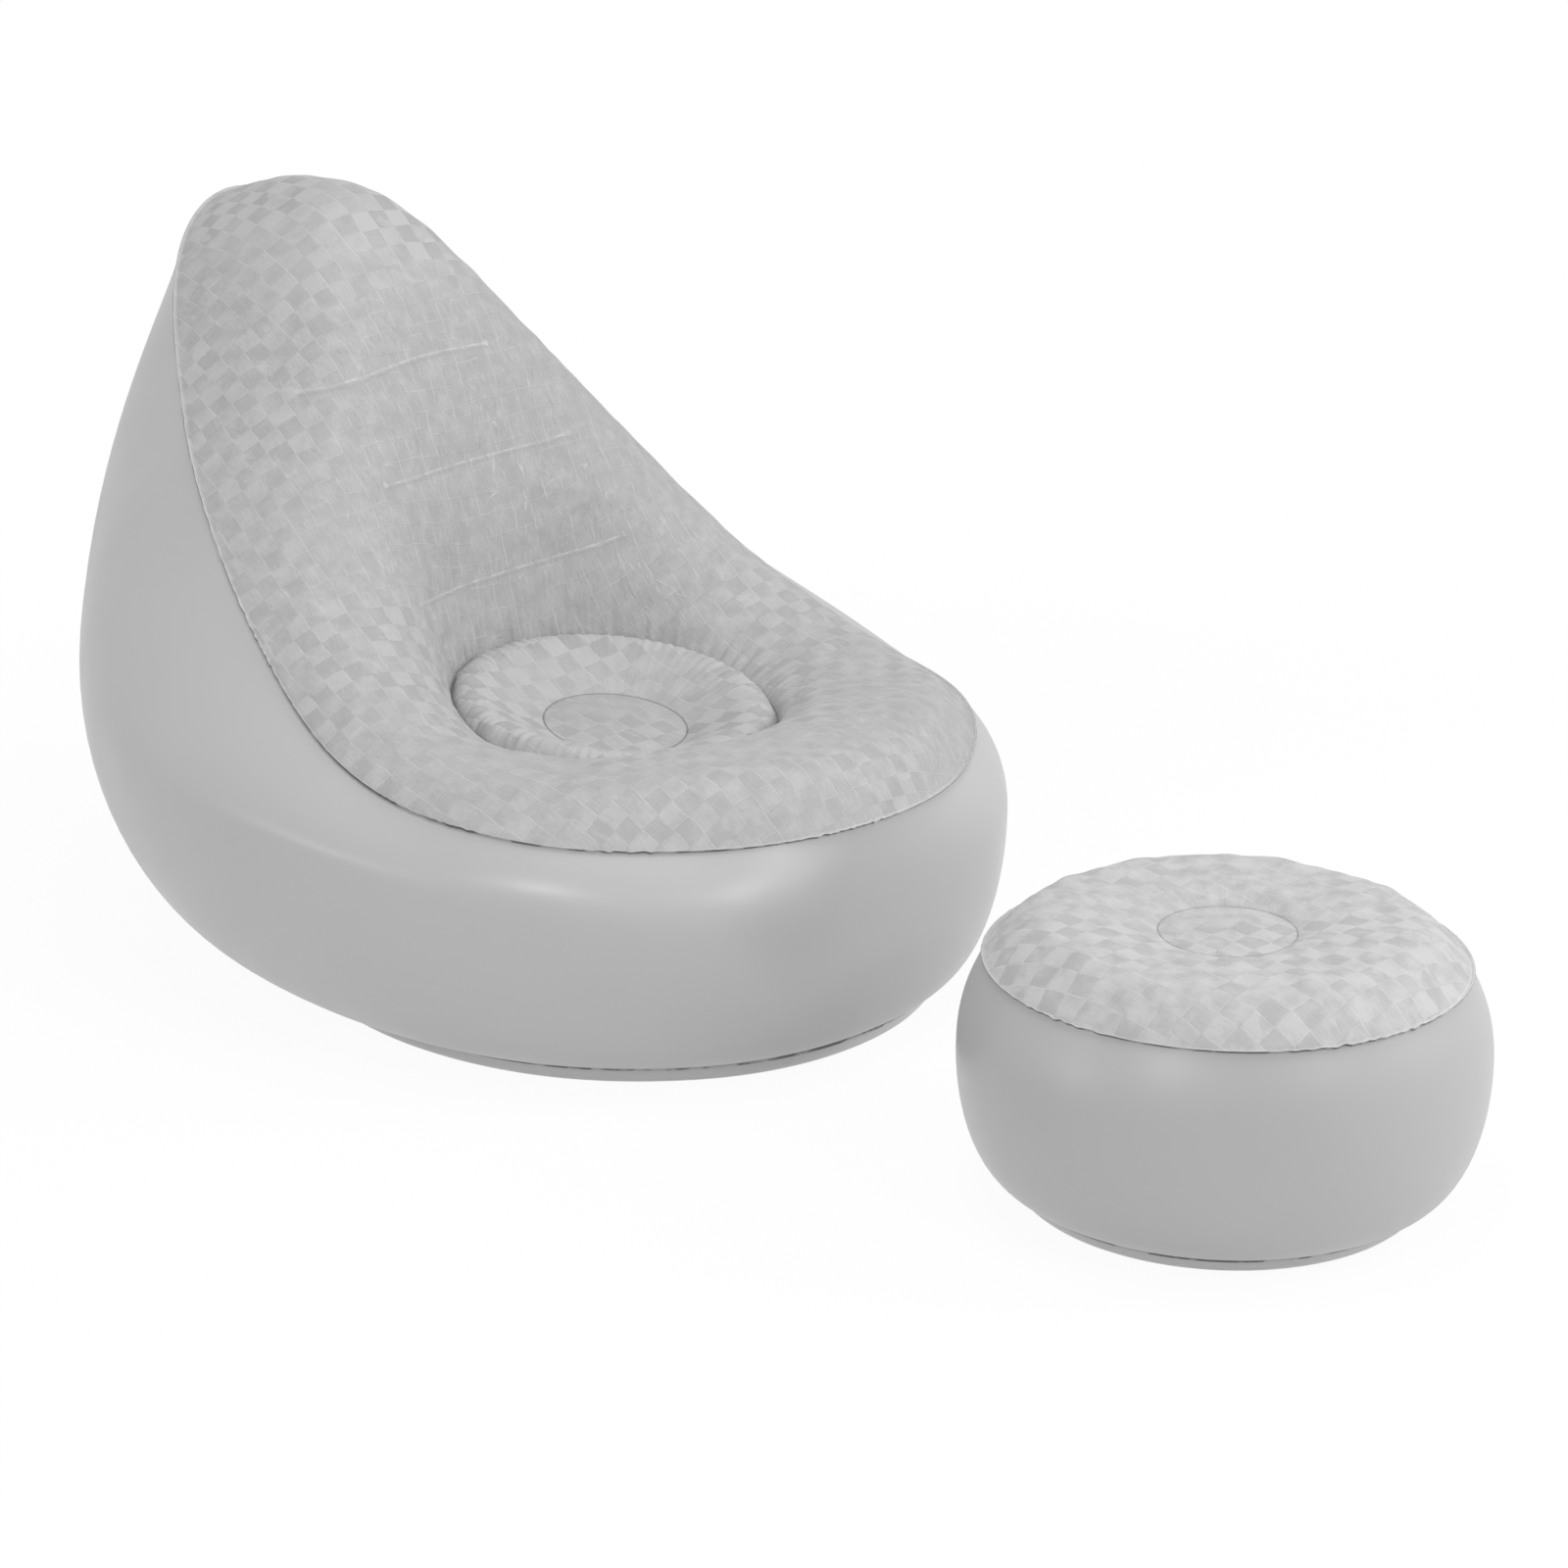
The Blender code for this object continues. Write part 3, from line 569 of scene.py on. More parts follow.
def mesh_object(name: str, patch: Patch, poles: bool = False, closed: bool = True) -> bpy.types.Object:
    """Mesh through a grid of points, with its attributes.

    Args:
        name: the piece's name.
        patch: points and attributes, by direction and row.
        poles: whether one row meets in one point.
        closed: whether the last column joins the first.

    Returns:
        The object, still one sheet without thickness.
    """
    columns, rows = patch.points.shape[:2]
    steps = columns if closed else columns - 1
    bm = bmesh.new()
    bmesh.ops.create_grid(bm, x_segments=steps, y_segments=rows - 1, size=1)
    mesh = finished_mesh(bm, name)
    place = np.zeros(len(mesh.vertices) * 3)
    mesh.vertices.foreach_get("co", place)
    place = (place.reshape(-1, 3) + 1) / 2
    column = np.round(place[:, 0] * steps).astype(int) % columns
    row = np.round(place[:, 1] * (rows - 1)).astype(int)
    mesh.vertices.foreach_set("co", patch.points[column, row].ravel())
    for label in ("flat", "polar", "mark", "wear", "weld"):
        values = getattr(patch, label)
        kind, key = ("FLOAT_VECTOR", "vector") if values.ndim == 3 else ("FLOAT", "value")
        mesh.attributes.new(label, kind, "POINT").data.foreach_set(key, values[column, row].ravel())
    bm = bmesh.new()
    bm.from_mesh(mesh)
    bmesh.ops.remove_doubles(bm, verts=bm.verts, dist=MERGE_DISTANCE)
    if poles:
        bmesh.ops.dissolve_degenerate(bm, dist=MERGE_DISTANCE, edges=bm.edges)
    bmesh.ops.recalc_face_normals(bm, faces=bm.faces)
    face = max(bm.faces, key=lambda item: item.calc_area())
    wanted = patch_normal(patch, face)
    if face.normal.dot(wanted) < 0:
        bmesh.ops.reverse_faces(bm, faces=bm.faces)
    bm.to_mesh(mesh)
    bm.free()
    mesh.shade_smooth()
    mesh.set_sharp_from_angle(angle=SHARP_ANGLE)
    return linked_object(name, mesh)


def patch_normal(patch: Patch, face: bmesh.types.BMFace) -> Vector:
    """Outward direction of the patch at the grid point nearest to a face."""
    centre = np.array(face.calc_center_median())
    gap = np.linalg.norm(patch.points - centre, axis=-1)
    column, row = np.unravel_index(np.argmin(gap), gap.shape)
    return Vector(normals_of(patch.points)[column, row])


def add_thickness(item: bpy.types.Object) -> bpy.types.Object:
    """Give a sheet its thickness, inwards from its outer face."""
    wall = item.modifiers.new("sheet", "SOLIDIFY")
    wall.thickness = SHEET_THICKNESS
    wall.offset = -1.0
    wall.use_even_offset = True
    return item


def apply_modifiers(item: bpy.types.Object) -> None:
    """Make a piece's modifiers part of its mesh."""
    graph = bpy.context.evaluated_depsgraph_get()
    made = bpy.data.meshes.new_from_object(item.evaluated_get(graph), preserve_all_data_layers=True, depsgraph=graph)
    old = item.data
    item.modifiers.clear()
    item.data = made
    bpy.data.meshes.remove(old)
    made.name = item.name


def dress(item: bpy.types.Object, body: Body, slot: Slot, material: bpy.types.Material, *nodes: str) -> None:
    """Give a piece its material and body, and hide the CAD nodes that it stands for."""
    item.data.materials.clear()
    item.data.materials.append(material)
    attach(item, body.value)
    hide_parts(*nodes)
    LOG.info("%s: %d faces", item.name, len(item.data.polygons))


# Materials


class Canvas:
    """Adds nodes to a tree and joins their sockets."""

    def __init__(self, tree: bpy.types.NodeTree) -> None:
        """Work on one node tree."""
        self.tree = tree

    def node(self, kind: str, inputs: dict | None = None, **settings: object) -> bpy.types.Node:
        """Add a node.

        Args:
            kind: Blender's name of the node type.
            inputs: sockets or plain values, by input name or index.
            settings: properties of the node.

        Returns:
            The node.
        """
        made = self.tree.nodes.new(kind)
        for label, value in settings.items():
            setattr(made, label, value)
        for key, value in (inputs or {}).items():
            if isinstance(value, Socket):
                self.tree.links.new(value, made.inputs[key])
            else:
                made.inputs[key].default_value = value
        return made

    def math(self, operation: str, *values: Socket | float) -> Socket:
        """Result of one sum."""
        return self.node("ShaderNodeMath", dict(enumerate(values)), operation=operation).outputs[0]

    def product(self, *values: Socket | float) -> Socket:
        """First value times the second."""
        return self.math("MULTIPLY", *values)

    def centred(self, value: Socket) -> Socket:
        """Value from 0 to 1 brought round 0."""
        return self.math("SUBTRACT", value, 0.5)

    def vector(self, operation: str, *values: Socket | tuple) -> Socket:
        """Result of one vector sum."""
        return self.node("ShaderNodeVectorMath", dict(enumerate(values)), operation=operation).outputs[0]

    def stretched(self, vector: Socket, factors: tuple[float, float, float]) -> Socket:
        """Vector times a factor on each axis."""
        return self.vector("MULTIPLY", vector, factors)

    def parts(self, vector: Socket) -> bpy.types.bpy_prop_collection:
        """The three parts of a vector."""
        return self.node("ShaderNodeSeparateXYZ", {0: vector}).outputs

    def distance(self, place: Socket, centre: tuple[float, float, float]) -> Socket:
        """Distance of a place from a centre."""
        return self.node("ShaderNodeVectorMath", {0: place, 1: centre}, operation="DISTANCE").outputs["Value"]

    def scaled(self, vector: Socket, factor: Socket | float) -> Socket:
        """Vector times a factor."""
        return self.node("ShaderNodeVectorMath", {0: vector, "Scale": factor}, operation="SCALE").outputs[0]

    def sum(self, *terms: tuple[Socket, float]) -> Socket:
        """Sum of terms, each a value with its weight."""
        total = self.product(*terms[0])
        for value, weight in terms[1:]:
            total = self.math("MULTIPLY_ADD", value, weight, total)
        return total

    def ramp(self, value: Socket, low: float, high: float, start: float = 0.0, end: float = 1.0) -> Socket:
        """Value mapped smoothly from one range to another."""
        made = self.node("ShaderNodeMapRange", {"Value": value, "From Min": low, "From Max": high,
                                                "To Min": start, "To Max": end},
                         interpolation_type="SMOOTHSTEP")
        return made.outputs["Result"]

    def noise(self, vector: Socket, scale: float, detail: float = 2.0, output: str = "Fac") -> Socket:
        """Noise of a given scale."""
        made = self.node("ShaderNodeTexNoise", {"Vector": vector, "Scale": scale, "Detail": detail})
        return made.outputs[output]

    def attribute(self, name: str, output: str = "Vector") -> Socket:
        """Attribute of the mesh."""
        return self.node("ShaderNodeAttribute", attribute_name=name).outputs[output]

    def object_place(self) -> Socket:
        """Object coordinates."""
        return self.node("ShaderNodeTexCoord").outputs["Object"]

    def group(self, tree: bpy.types.NodeTree, **inputs: Socket | float) -> bpy.types.Node:
        """Place a node group, with its inputs by name."""
        given = {key.capitalize(): value for key, value in inputs.items()}
        return self.node("ShaderNodeGroup", given, node_tree=tree)

    def mixed(self, share: Socket, first: Socket | tuple, second: Socket | tuple) -> Socket:
        """Colour between two colours."""
        return self.node("ShaderNodeMix", {0: share, 6: first, 7: second}, data_type="RGBA").outputs[2]

    def join(self, shader: bpy.types.Node, **values: Socket | float) -> None:
        """Give a shader's inputs their sockets or plain values, by name with underscores for spaces."""
        for key, value in values.items():
            label = key.replace("_", " ")
            if isinstance(value, Socket):
                self.tree.links.new(value, shader.inputs[label])
            else:
                shader.inputs[label].default_value = value


FLOAT = "NodeSocketFloat"
VECTOR = "NodeSocketVector"


def new_group(name: str, inputs: dict[str, str],
              outputs: dict[str, str]) -> tuple[Canvas, dict[str, Socket], bpy.types.Node]:
    """Start a shader node group.

    Args:
        name: the group's name.
        inputs: kinds of the input sockets, by name.
        outputs: kinds of the output sockets, by name.

    Returns:
        The canvas, the input sockets by name, and the output node.
    """
    tree = bpy.data.node_groups.new(name, "ShaderNodeTree")
    for label, kind in inputs.items():
        tree.interface.new_socket(name=label, in_out="INPUT", socket_type=kind)
    for label, kind in outputs.items():
        tree.interface.new_socket(name=label, in_out="OUTPUT", socket_type=kind)
    start = tree.nodes.new("NodeGroupInput")
    end = tree.nodes.new("NodeGroupOutput")
    return Canvas(tree), {label: start.outputs[label] for label in inputs}, end


def finish_group(canvas: Canvas, end: bpy.types.Node, **results: Socket) -> bpy.types.NodeTree:
    """Join the results to the group's outputs."""
    for label, socket in results.items():
        canvas.tree.links.new(socket, end.inputs[label.capitalize()])
    return canvas.tree


def checker_group() -> bpy.types.NodeTree:
    """Embossed squares on flat coordinates: tone, raised lines along two of their edges, tilt and hatching."""
    canvas, given, end = new_group("embossed_checker", {"Place": VECTOR, "Density": FLOAT},
                                   {"Tone": FLOAT, "Line": FLOAT, "Tilt": FLOAT, "Hatch": FLOAT})
    scaled = canvas.scaled(given["Place"], given["Density"])
    drift = canvas.vector("SUBTRACT", canvas.noise(scaled, 0.5, 2.0, "Color"), (0.5, 0.5, 0.5))
    place = canvas.stretched(canvas.vector("ADD", scaled, canvas.scaled(drift, 0.45)), (1.0, 1.0, 0.0))
    cell = canvas.vector("FLOOR", place)
    chance = canvas.node("ShaderNodeTexWhiteNoise", {"Vector": cell}, noise_dimensions="3D").outputs["Value"]
    within, steps = canvas.parts(canvas.vector("FRACTION", place)), canvas.parts(cell)
    odd = canvas.math("FLOORED_MODULO", canvas.math("ADD", steps[0], steps[1]), 2.0)
    tone = canvas.sum((odd, 0.52), (chance, 0.48))
    even_hatch, odd_hatch = (canvas.noise(canvas.stretched(place, stretch), 1.0, 2.0)
                             for stretch in ((15.0, 2.0, 1.0), (2.0, 15.0, 1.0)))
    change = canvas.product(odd, canvas.math("SUBTRACT", odd_hatch, even_hatch))
    hatch = canvas.sum((even_hatch, 1.0), (change, 1.0))
    worn = canvas.ramp(canvas.noise(scaled, 0.7, 3.0), 0.36, 0.56)
    side = canvas.ramp(within[0], 0.925, 0.975)
    foot = canvas.product(canvas.ramp(within[1], 0.075, 0.025), 0.55)
    line = canvas.product(canvas.math("MAXIMUM", side, foot), worn)
    return finish_group(canvas, end, tone=tone, line=line, hatch=hatch,
                        tilt=canvas.math("SUBTRACT", within[0], within[1]))


def crease_group() -> bpy.types.NodeTree:
    """Hairline creases that run mostly one way, with broken ends."""
    canvas, given, end = new_group("hairline_creases", {"Place": VECTOR, "Density": FLOAT, "Turn": FLOAT},
                                   {"Crease": FLOAT})
    turned = canvas.node("ShaderNodeVectorRotate", {"Vector": canvas.scaled(given["Place"], given["Density"]),
                                                    "Angle": given["Turn"]}, rotation_type="Z_AXIS").outputs[0]
    bent = canvas.vector("ADD", turned, canvas.scaled(canvas.noise(turned, 0.12, 2.0, "Color"), 1.2))
    drawn = canvas.noise(canvas.stretched(bent, (0.05, 1.0, 1.0)), 1.0, 0.0)
    line = canvas.ramp(canvas.math("ABSOLUTE", canvas.centred(drawn)), 0.0, 0.025, 1.0, 0.0)
    elsewhere = canvas.vector("ADD", turned, (7.0, 3.0, 0.0))
    chosen = canvas.ramp(canvas.noise(canvas.stretched(elsewhere, (0.45, 1.0, 1.0)), 1.0, 1.0), 0.54, 0.66)
    return finish_group(canvas, end, crease=canvas.product(line, chosen))


def grain_group() -> bpy.types.NodeTree:
    """Fine grain of calendered sheet and mouldings, with slow changes of gloss."""
    canvas, given, end = new_group("sheet_grain", {"Place": VECTOR, "Density": FLOAT},
                                   {"Gloss": FLOAT, "Grain": FLOAT, "Tint": FLOAT})
    scaled = canvas.scaled(given["Place"], given["Density"])
    return finish_group(canvas, end, gloss=canvas.noise(scaled, 0.02, 3.0), grain=canvas.noise(scaled, 1.0, 3.0),
                        tint=canvas.noise(scaled, 0.006, 2.0))


def grey(value: float, tint: float = 0.0) -> tuple[float, float, float, float]:
    """Grey, a little cooler by tint."""
    return (value, value, value + tint, 1.0)


def new_material(name: str) -> tuple[bpy.types.Material, Canvas, bpy.types.Node]:
    """Start a material.

    Args:
        name: the material's name.

    Returns:
        The material, its canvas and its Principled shader.
    """
    material = bpy.data.materials.new(name)
    material.use_nodes = True
    return material, Canvas(material.node_tree), material.node_tree.nodes["Principled BSDF"]


def bump(canvas: Canvas, height: Socket, strength: float, distance: float) -> Socket:
    """Normal of a surface with a height."""
    return canvas.node("ShaderNodeBump", {"Height": height, "Strength": strength, "Distance": distance}).outputs[0]


@dataclass(frozen=True)
class FlockedVinyl:
    """Short grey flock on vinyl, embossed in a two-tone checker and creased by the air's pull, with painted shade
    along its ring welds.
    """

    name: str
    light: float = 0.490
    dark: float = 0.385
    raised: float = 0.640
    roughness: float = 0.82
    squares_per_metre: float = 41.0
    contrast: float = 1.25
    # groove: how dark the painted shade in the crease along the ring welds is
    groove: float = 0.45
    cloud: float = 0.75
    nap_density: float = 900.0
    streaks: tuple[float, float, float] = (34.0, 34.0, 9.0)
    brush: tuple[float, float, float] = (520.0, 70.0, 1.0)
    crease_runs: tuple[tuple[float, float], ...] = ((75.0, 1.40), (95.0, 1.80), (60.0, -0.10), (120.0, 1.15),
                                                    (150.0, 1.57))
    relief_height: float = 0.0010

    def material(self, checker: bpy.types.NodeTree, crease: bpy.types.NodeTree,
                 grain: bpy.types.NodeTree) -> bpy.types.Material:
        """Build the material.

        Args:
            checker: group of the embossed squares.
            crease: group of the hairline creases.
            grain: group of the sheet's grain.

        Returns:
            The material.
        """
        material, canvas, shader = new_material(self.name)
        flat, wear = canvas.attribute("flat"), canvas.attribute("wear", "Fac")
        mark = canvas.parts(canvas.attribute("mark"))
        squares = canvas.group(checker, place=flat, density=self.squares_per_metre).outputs
        nap = canvas.group(grain, place=flat, density=self.nap_density).outputs
        streak, cloud = self._streak(canvas), self._cloud(canvas, flat, wear)
        brushed = self._brushed(canvas, flat, wear)
        hatch = canvas.centred(squares["Hatch"])
        patchy = canvas.ramp(canvas.noise(flat, 4.5, 2.0), 0.38, 0.60, 0.3 * self.contrast, self.contrast)
        patchy = canvas.product(patchy, canvas.math("SUBTRACT", 1.0, wear))
        tone = canvas.product(canvas.centred(squares["Tone"]), patchy)
        shade = canvas.sum((tone, 1.0), (streak, 0.4), (cloud, 1.0), (brushed, 1.0), (hatch, 0.45), (wear, 0.34),
                           (0.42, 1.0))
        colour = canvas.mixed(canvas.ramp(shade, 0.10, 1.0), grey(self.light, 0.002), grey(self.dark, 0.003))
        weld, under = self._weld_lines(canvas, mark[0], mark[1])
        weld = canvas.product(weld, canvas.ramp(canvas.noise(flat, 55.0, 2.0), 0.40, 0.62, 0.35, 1.1))
        creases = canvas.product(self._creases(canvas, crease, flat), canvas.ramp(wear, 0.15, 0.90, 0.15, 1.0))
        lines = canvas.sum((squares["Line"], 0.46), (creases, 0.34), (weld, 0.45), (mark[2], 0.6))
        colour = canvas.mixed(lines, colour, grey(self.raised, 0.002))
        colour = canvas.mixed(canvas.product(under, 0.35), colour, grey(self.dark * 0.85, 0.002))
        # Painted shade: close to each ring weld the flock is darkened towards grey 0.14, standing in for the shade
        # in the weld's crease.
        groove = canvas.ramp(canvas.attribute("weld", "Fac"), 0.925, 0.975, 0.0, self.groove)
        height = canvas.sum((squares["Line"], 0.20), (squares["Tilt"], 0.45), (creases, 0.6), (streak, 1.0),
                            (cloud, 2.0), (brushed, 0.5), (nap["Grain"], 0.08), (weld, 0.15), (hatch, 0.25))
        canvas.join(shader, Base_Color=canvas.mixed(groove, colour, grey(0.14, 0.002)),
                    Roughness=canvas.ramp(nap["Gloss"], 0.3, 0.7, self.roughness - 0.08, self.roughness + 0.08),
                    Sheen_Weight=0.12, Sheen_Roughness=0.4, Specular_IOR_Level=0.3,
                    Normal=bump(canvas, height, 0.8, self.relief_height))
        return material

    def _streak(self, canvas: Canvas) -> Socket:
        """Streaks that fan out from a ring weld."""
        fan = canvas.attribute("polar")
        near_ring = canvas.ramp(canvas.parts(fan)[2], 0.004, 0.11, 1.0, 0.0)
        return canvas.product(canvas.centred(canvas.noise(canvas.stretched(fan, self.streaks), 1.0, 4.0)), near_ring)

    def _brushed(self, canvas: Canvas, flat: Socket, wear: Socket) -> Socket:
        """Lie of the flock, plainer to see where it is worn."""
        brushed = canvas.noise(canvas.stretched(flat, self.brush), 1.0, 3.0)
        return canvas.product(canvas.centred(brushed), canvas.sum((wear, 0.7), (0.3, 1.0)))

    def _cloud(self, canvas: Canvas, flat: Socket, wear: Socket) -> Socket:
        """Blotches of the flock."""
        blotches = canvas.centred(canvas.noise(flat, 40.0, 4.0))
        return canvas.product(blotches, canvas.sum((wear, 0.4), (self.cloud, 1.0)))

    @staticmethod
    def _weld_lines(canvas: Canvas, above: Socket, past: Socket) -> tuple[Socket, Socket]:
        """Raised line of a weld mark with its round ends, and the shade beneath it."""
        within = canvas.ramp(past, -0.001, 0.003, 1.0, 0.0)
        line = canvas.ramp(canvas.math("ABSOLUTE", above), 0.0004, 0.0016, 1.0, 0.0)
        end = canvas.math("SQRT", canvas.sum((canvas.product(past, past), 1.0), (canvas.product(above, above), 1.0)))
        weld = canvas.math("MAXIMUM", canvas.product(line, within), canvas.ramp(end, 0.002, 0.0045, 1.0, 0.0))
        under = canvas.ramp(canvas.math("ABSOLUTE", canvas.math("ADD", above, 0.0042)), 0.0, 0.0028, 1.0, 0.0)
        return weld, canvas.product(under, within)

    def _creases(self, canvas: Canvas, crease: bpy.types.NodeTree, flat: Socket) -> Socket:
        """Creases of several directions and sizes together."""
        total = None
        for density, turn in self.crease_runs:
            place = canvas.vector("ADD", flat, (density, turn, 0.0))
            made = canvas.group(crease, place=place, density=density, turn=turn).outputs["Crease"]
            total = made if total is None else canvas.math("MAXIMUM", total, made)
        return total


@dataclass(frozen=True)
class SatinVinyl:
    """Plain calendered vinyl with a soft satin gloss, and a broken line of painted shade along its seams."""

    name: str = "satin_vinyl"
    colour: float = 0.428
    roughness: float = 0.36
    specular: float = 0.80
    grain: float = 500.0
    tint_spread: float = 0.008
    gloss_spread: float = 0.03
    seam_shade_colour: float = 0.08

    def material(self, grain: bpy.types.NodeTree) -> bpy.types.Material:
        """Build the material from the shared grain group."""
        material, canvas, shader = new_material(self.name)
        place = canvas.object_place()
        sheet = canvas.group(grain, place=place, density=self.grain).outputs
        colour = canvas.mixed(canvas.ramp(sheet["Tint"], 0.3, 0.7), grey(self.colour - self.tint_spread, 0.002),
                              grey(self.colour + self.tint_spread, 0.002))
        # Painted shade: a broken dark line along the welds stands in for the shade in the crease under the fin.
        broken = canvas.ramp(canvas.noise(place, 32.0, 3.0), 0.40, 0.52, 0.15, 0.95)
        seam = canvas.product(canvas.ramp(canvas.attribute("weld", "Fac"), 0.945, 0.985), broken)
        rough = (self.roughness - self.gloss_spread, self.roughness + self.gloss_spread)
        canvas.join(shader, Base_Color=canvas.mixed(seam, colour, grey(self.seam_shade_colour, 0.002)),
                    Roughness=canvas.ramp(sheet["Gloss"], 0.3, 0.7, *rough),
                    Specular_IOR_Level=self.specular, Normal=bump(canvas, sheet["Grain"], 0.12, 0.0002))
        return material


@dataclass
class Finishes:
    """All materials of the object."""

    satin: bpy.types.Material = field(init=False)
    satin_painted_light: bpy.types.Material = field(init=False)
    satin_painted_shade: bpy.types.Material = field(init=False)
    flock: bpy.types.Material = field(init=False)
    pale_flock: bpy.types.Material = field(init=False)
    band: bpy.types.Material = field(init=False)
    moulding: bpy.types.Material = field(init=False)

    def __post_init__(self) -> None:
        """Build the shared groups once and the materials from them."""
        grain = grain_group()
        checker = checker_group()
        crease = crease_group()
        self.flock = FlockedVinyl("flocked_vinyl").material(checker, crease, grain)
        # groove=0.12 keeps the painted shade along the footrest's disc weld faint.
        pale = FlockedVinyl("flocked_vinyl_pale", 0.530, 0.422, 0.670, squares_per_metre=39.5, contrast=1.15,
                            groove=0.12, cloud=1.7)
        self.pale_flock = pale.material(checker, crease, grain)
        self.satin = SatinVinyl().material(grain)
        # Painted light: the base panel is the same vinyl as the wall, given a lighter colour that stands in for
        # light under the wall's bulge.
        self.satin_painted_light = SatinVinyl("satin_vinyl_base_painted_light", 0.52).material(grain)
        # Painted shade: the footrest's wall is the same vinyl as the chair's wall, given a darker colour that stands
        # in for shade.
        self.satin_painted_shade = SatinVinyl("satin_vinyl_footrest_painted_shade", 0.390).material(grain)
        self.band = SatinVinyl("band_vinyl", 0.55, 0.5, 0.4, 700.0).material(grain)
        self.moulding = SatinVinyl("valve_plastic", 0.60, 0.32, 0.5, 1500.0).material(grain)


# Sheets


@dataclass(frozen=True)
class Gathers:
    """Puckers of a welded seam and gathers round a ring weld."""

    seam: Ripples = Ripples(11, 0.012, 0.032)
    burst: Ripples = Ripples(12, 0.25, 0.70, 8)
    burst_least: float = 0.35
    burst_gain: float = 0.65
    burst_floor: float = -0.4
    seam_depth: float = 0.0010
    seam_fade: float = 0.007
    ring: Ripples = Ripples(21, 0.008, 0.020)
    ring_depth: float = 0.0005
    ring_fade: float = 0.016


@dataclass(frozen=True)
class ValveSeat:
    """Flat spot of the wall round a valve, with the neck's hole."""

    hole_sides = 96
    cutter_radii = 4

    centre: tuple[float, float, float]
    normal: tuple[float, float, float]
    flat_radius: float
    blend_radius: float
    hole_radius: float

    def flatten(self, points: Array) -> Array:
        """Bring the wall round the valve onto the valve's plane."""
        away = points - np.array(self.centre)
        normal = np.array(self.normal)
        height = away @ normal
        beside = np.linalg.norm(away - height[..., None] * normal, axis=-1)
        share = 1 - smooth(beside, self.flat_radius, self.blend_radius)
        near = np.abs(height) < self.blend_radius
        return points - (share * near * height)[..., None] * normal

    def pierce(self, item: bpy.types.Object) -> None:
        """Cut the neck's hole through the wall."""
        bm = bmesh.new()
        bmesh.ops.create_cone(bm, cap_ends=True, segments=self.hole_sides, radius1=self.hole_radius,
                              radius2=self.hole_radius, depth=self.cutter_radii * self.hole_radius)
        turn = Vector((0, 0, 1)).rotation_difference(Vector(self.normal)).to_matrix()
        bmesh.ops.rotate(bm, verts=bm.verts, matrix=turn)
        bmesh.ops.translate(bm, verts=bm.verts, vec=Vector(self.centre))
        cutter = linked_object("neck_cutter", finished_mesh(bm, "neck_cutter"))
        cut = item.modifiers.new("neck_hole", "BOOLEAN")
        cut.operation = "DIFFERENCE"
        cut.solver = "EXACT"
        cut.object = cutter
        apply_modifiers(item)
        bpy.data.objects.remove(cutter)


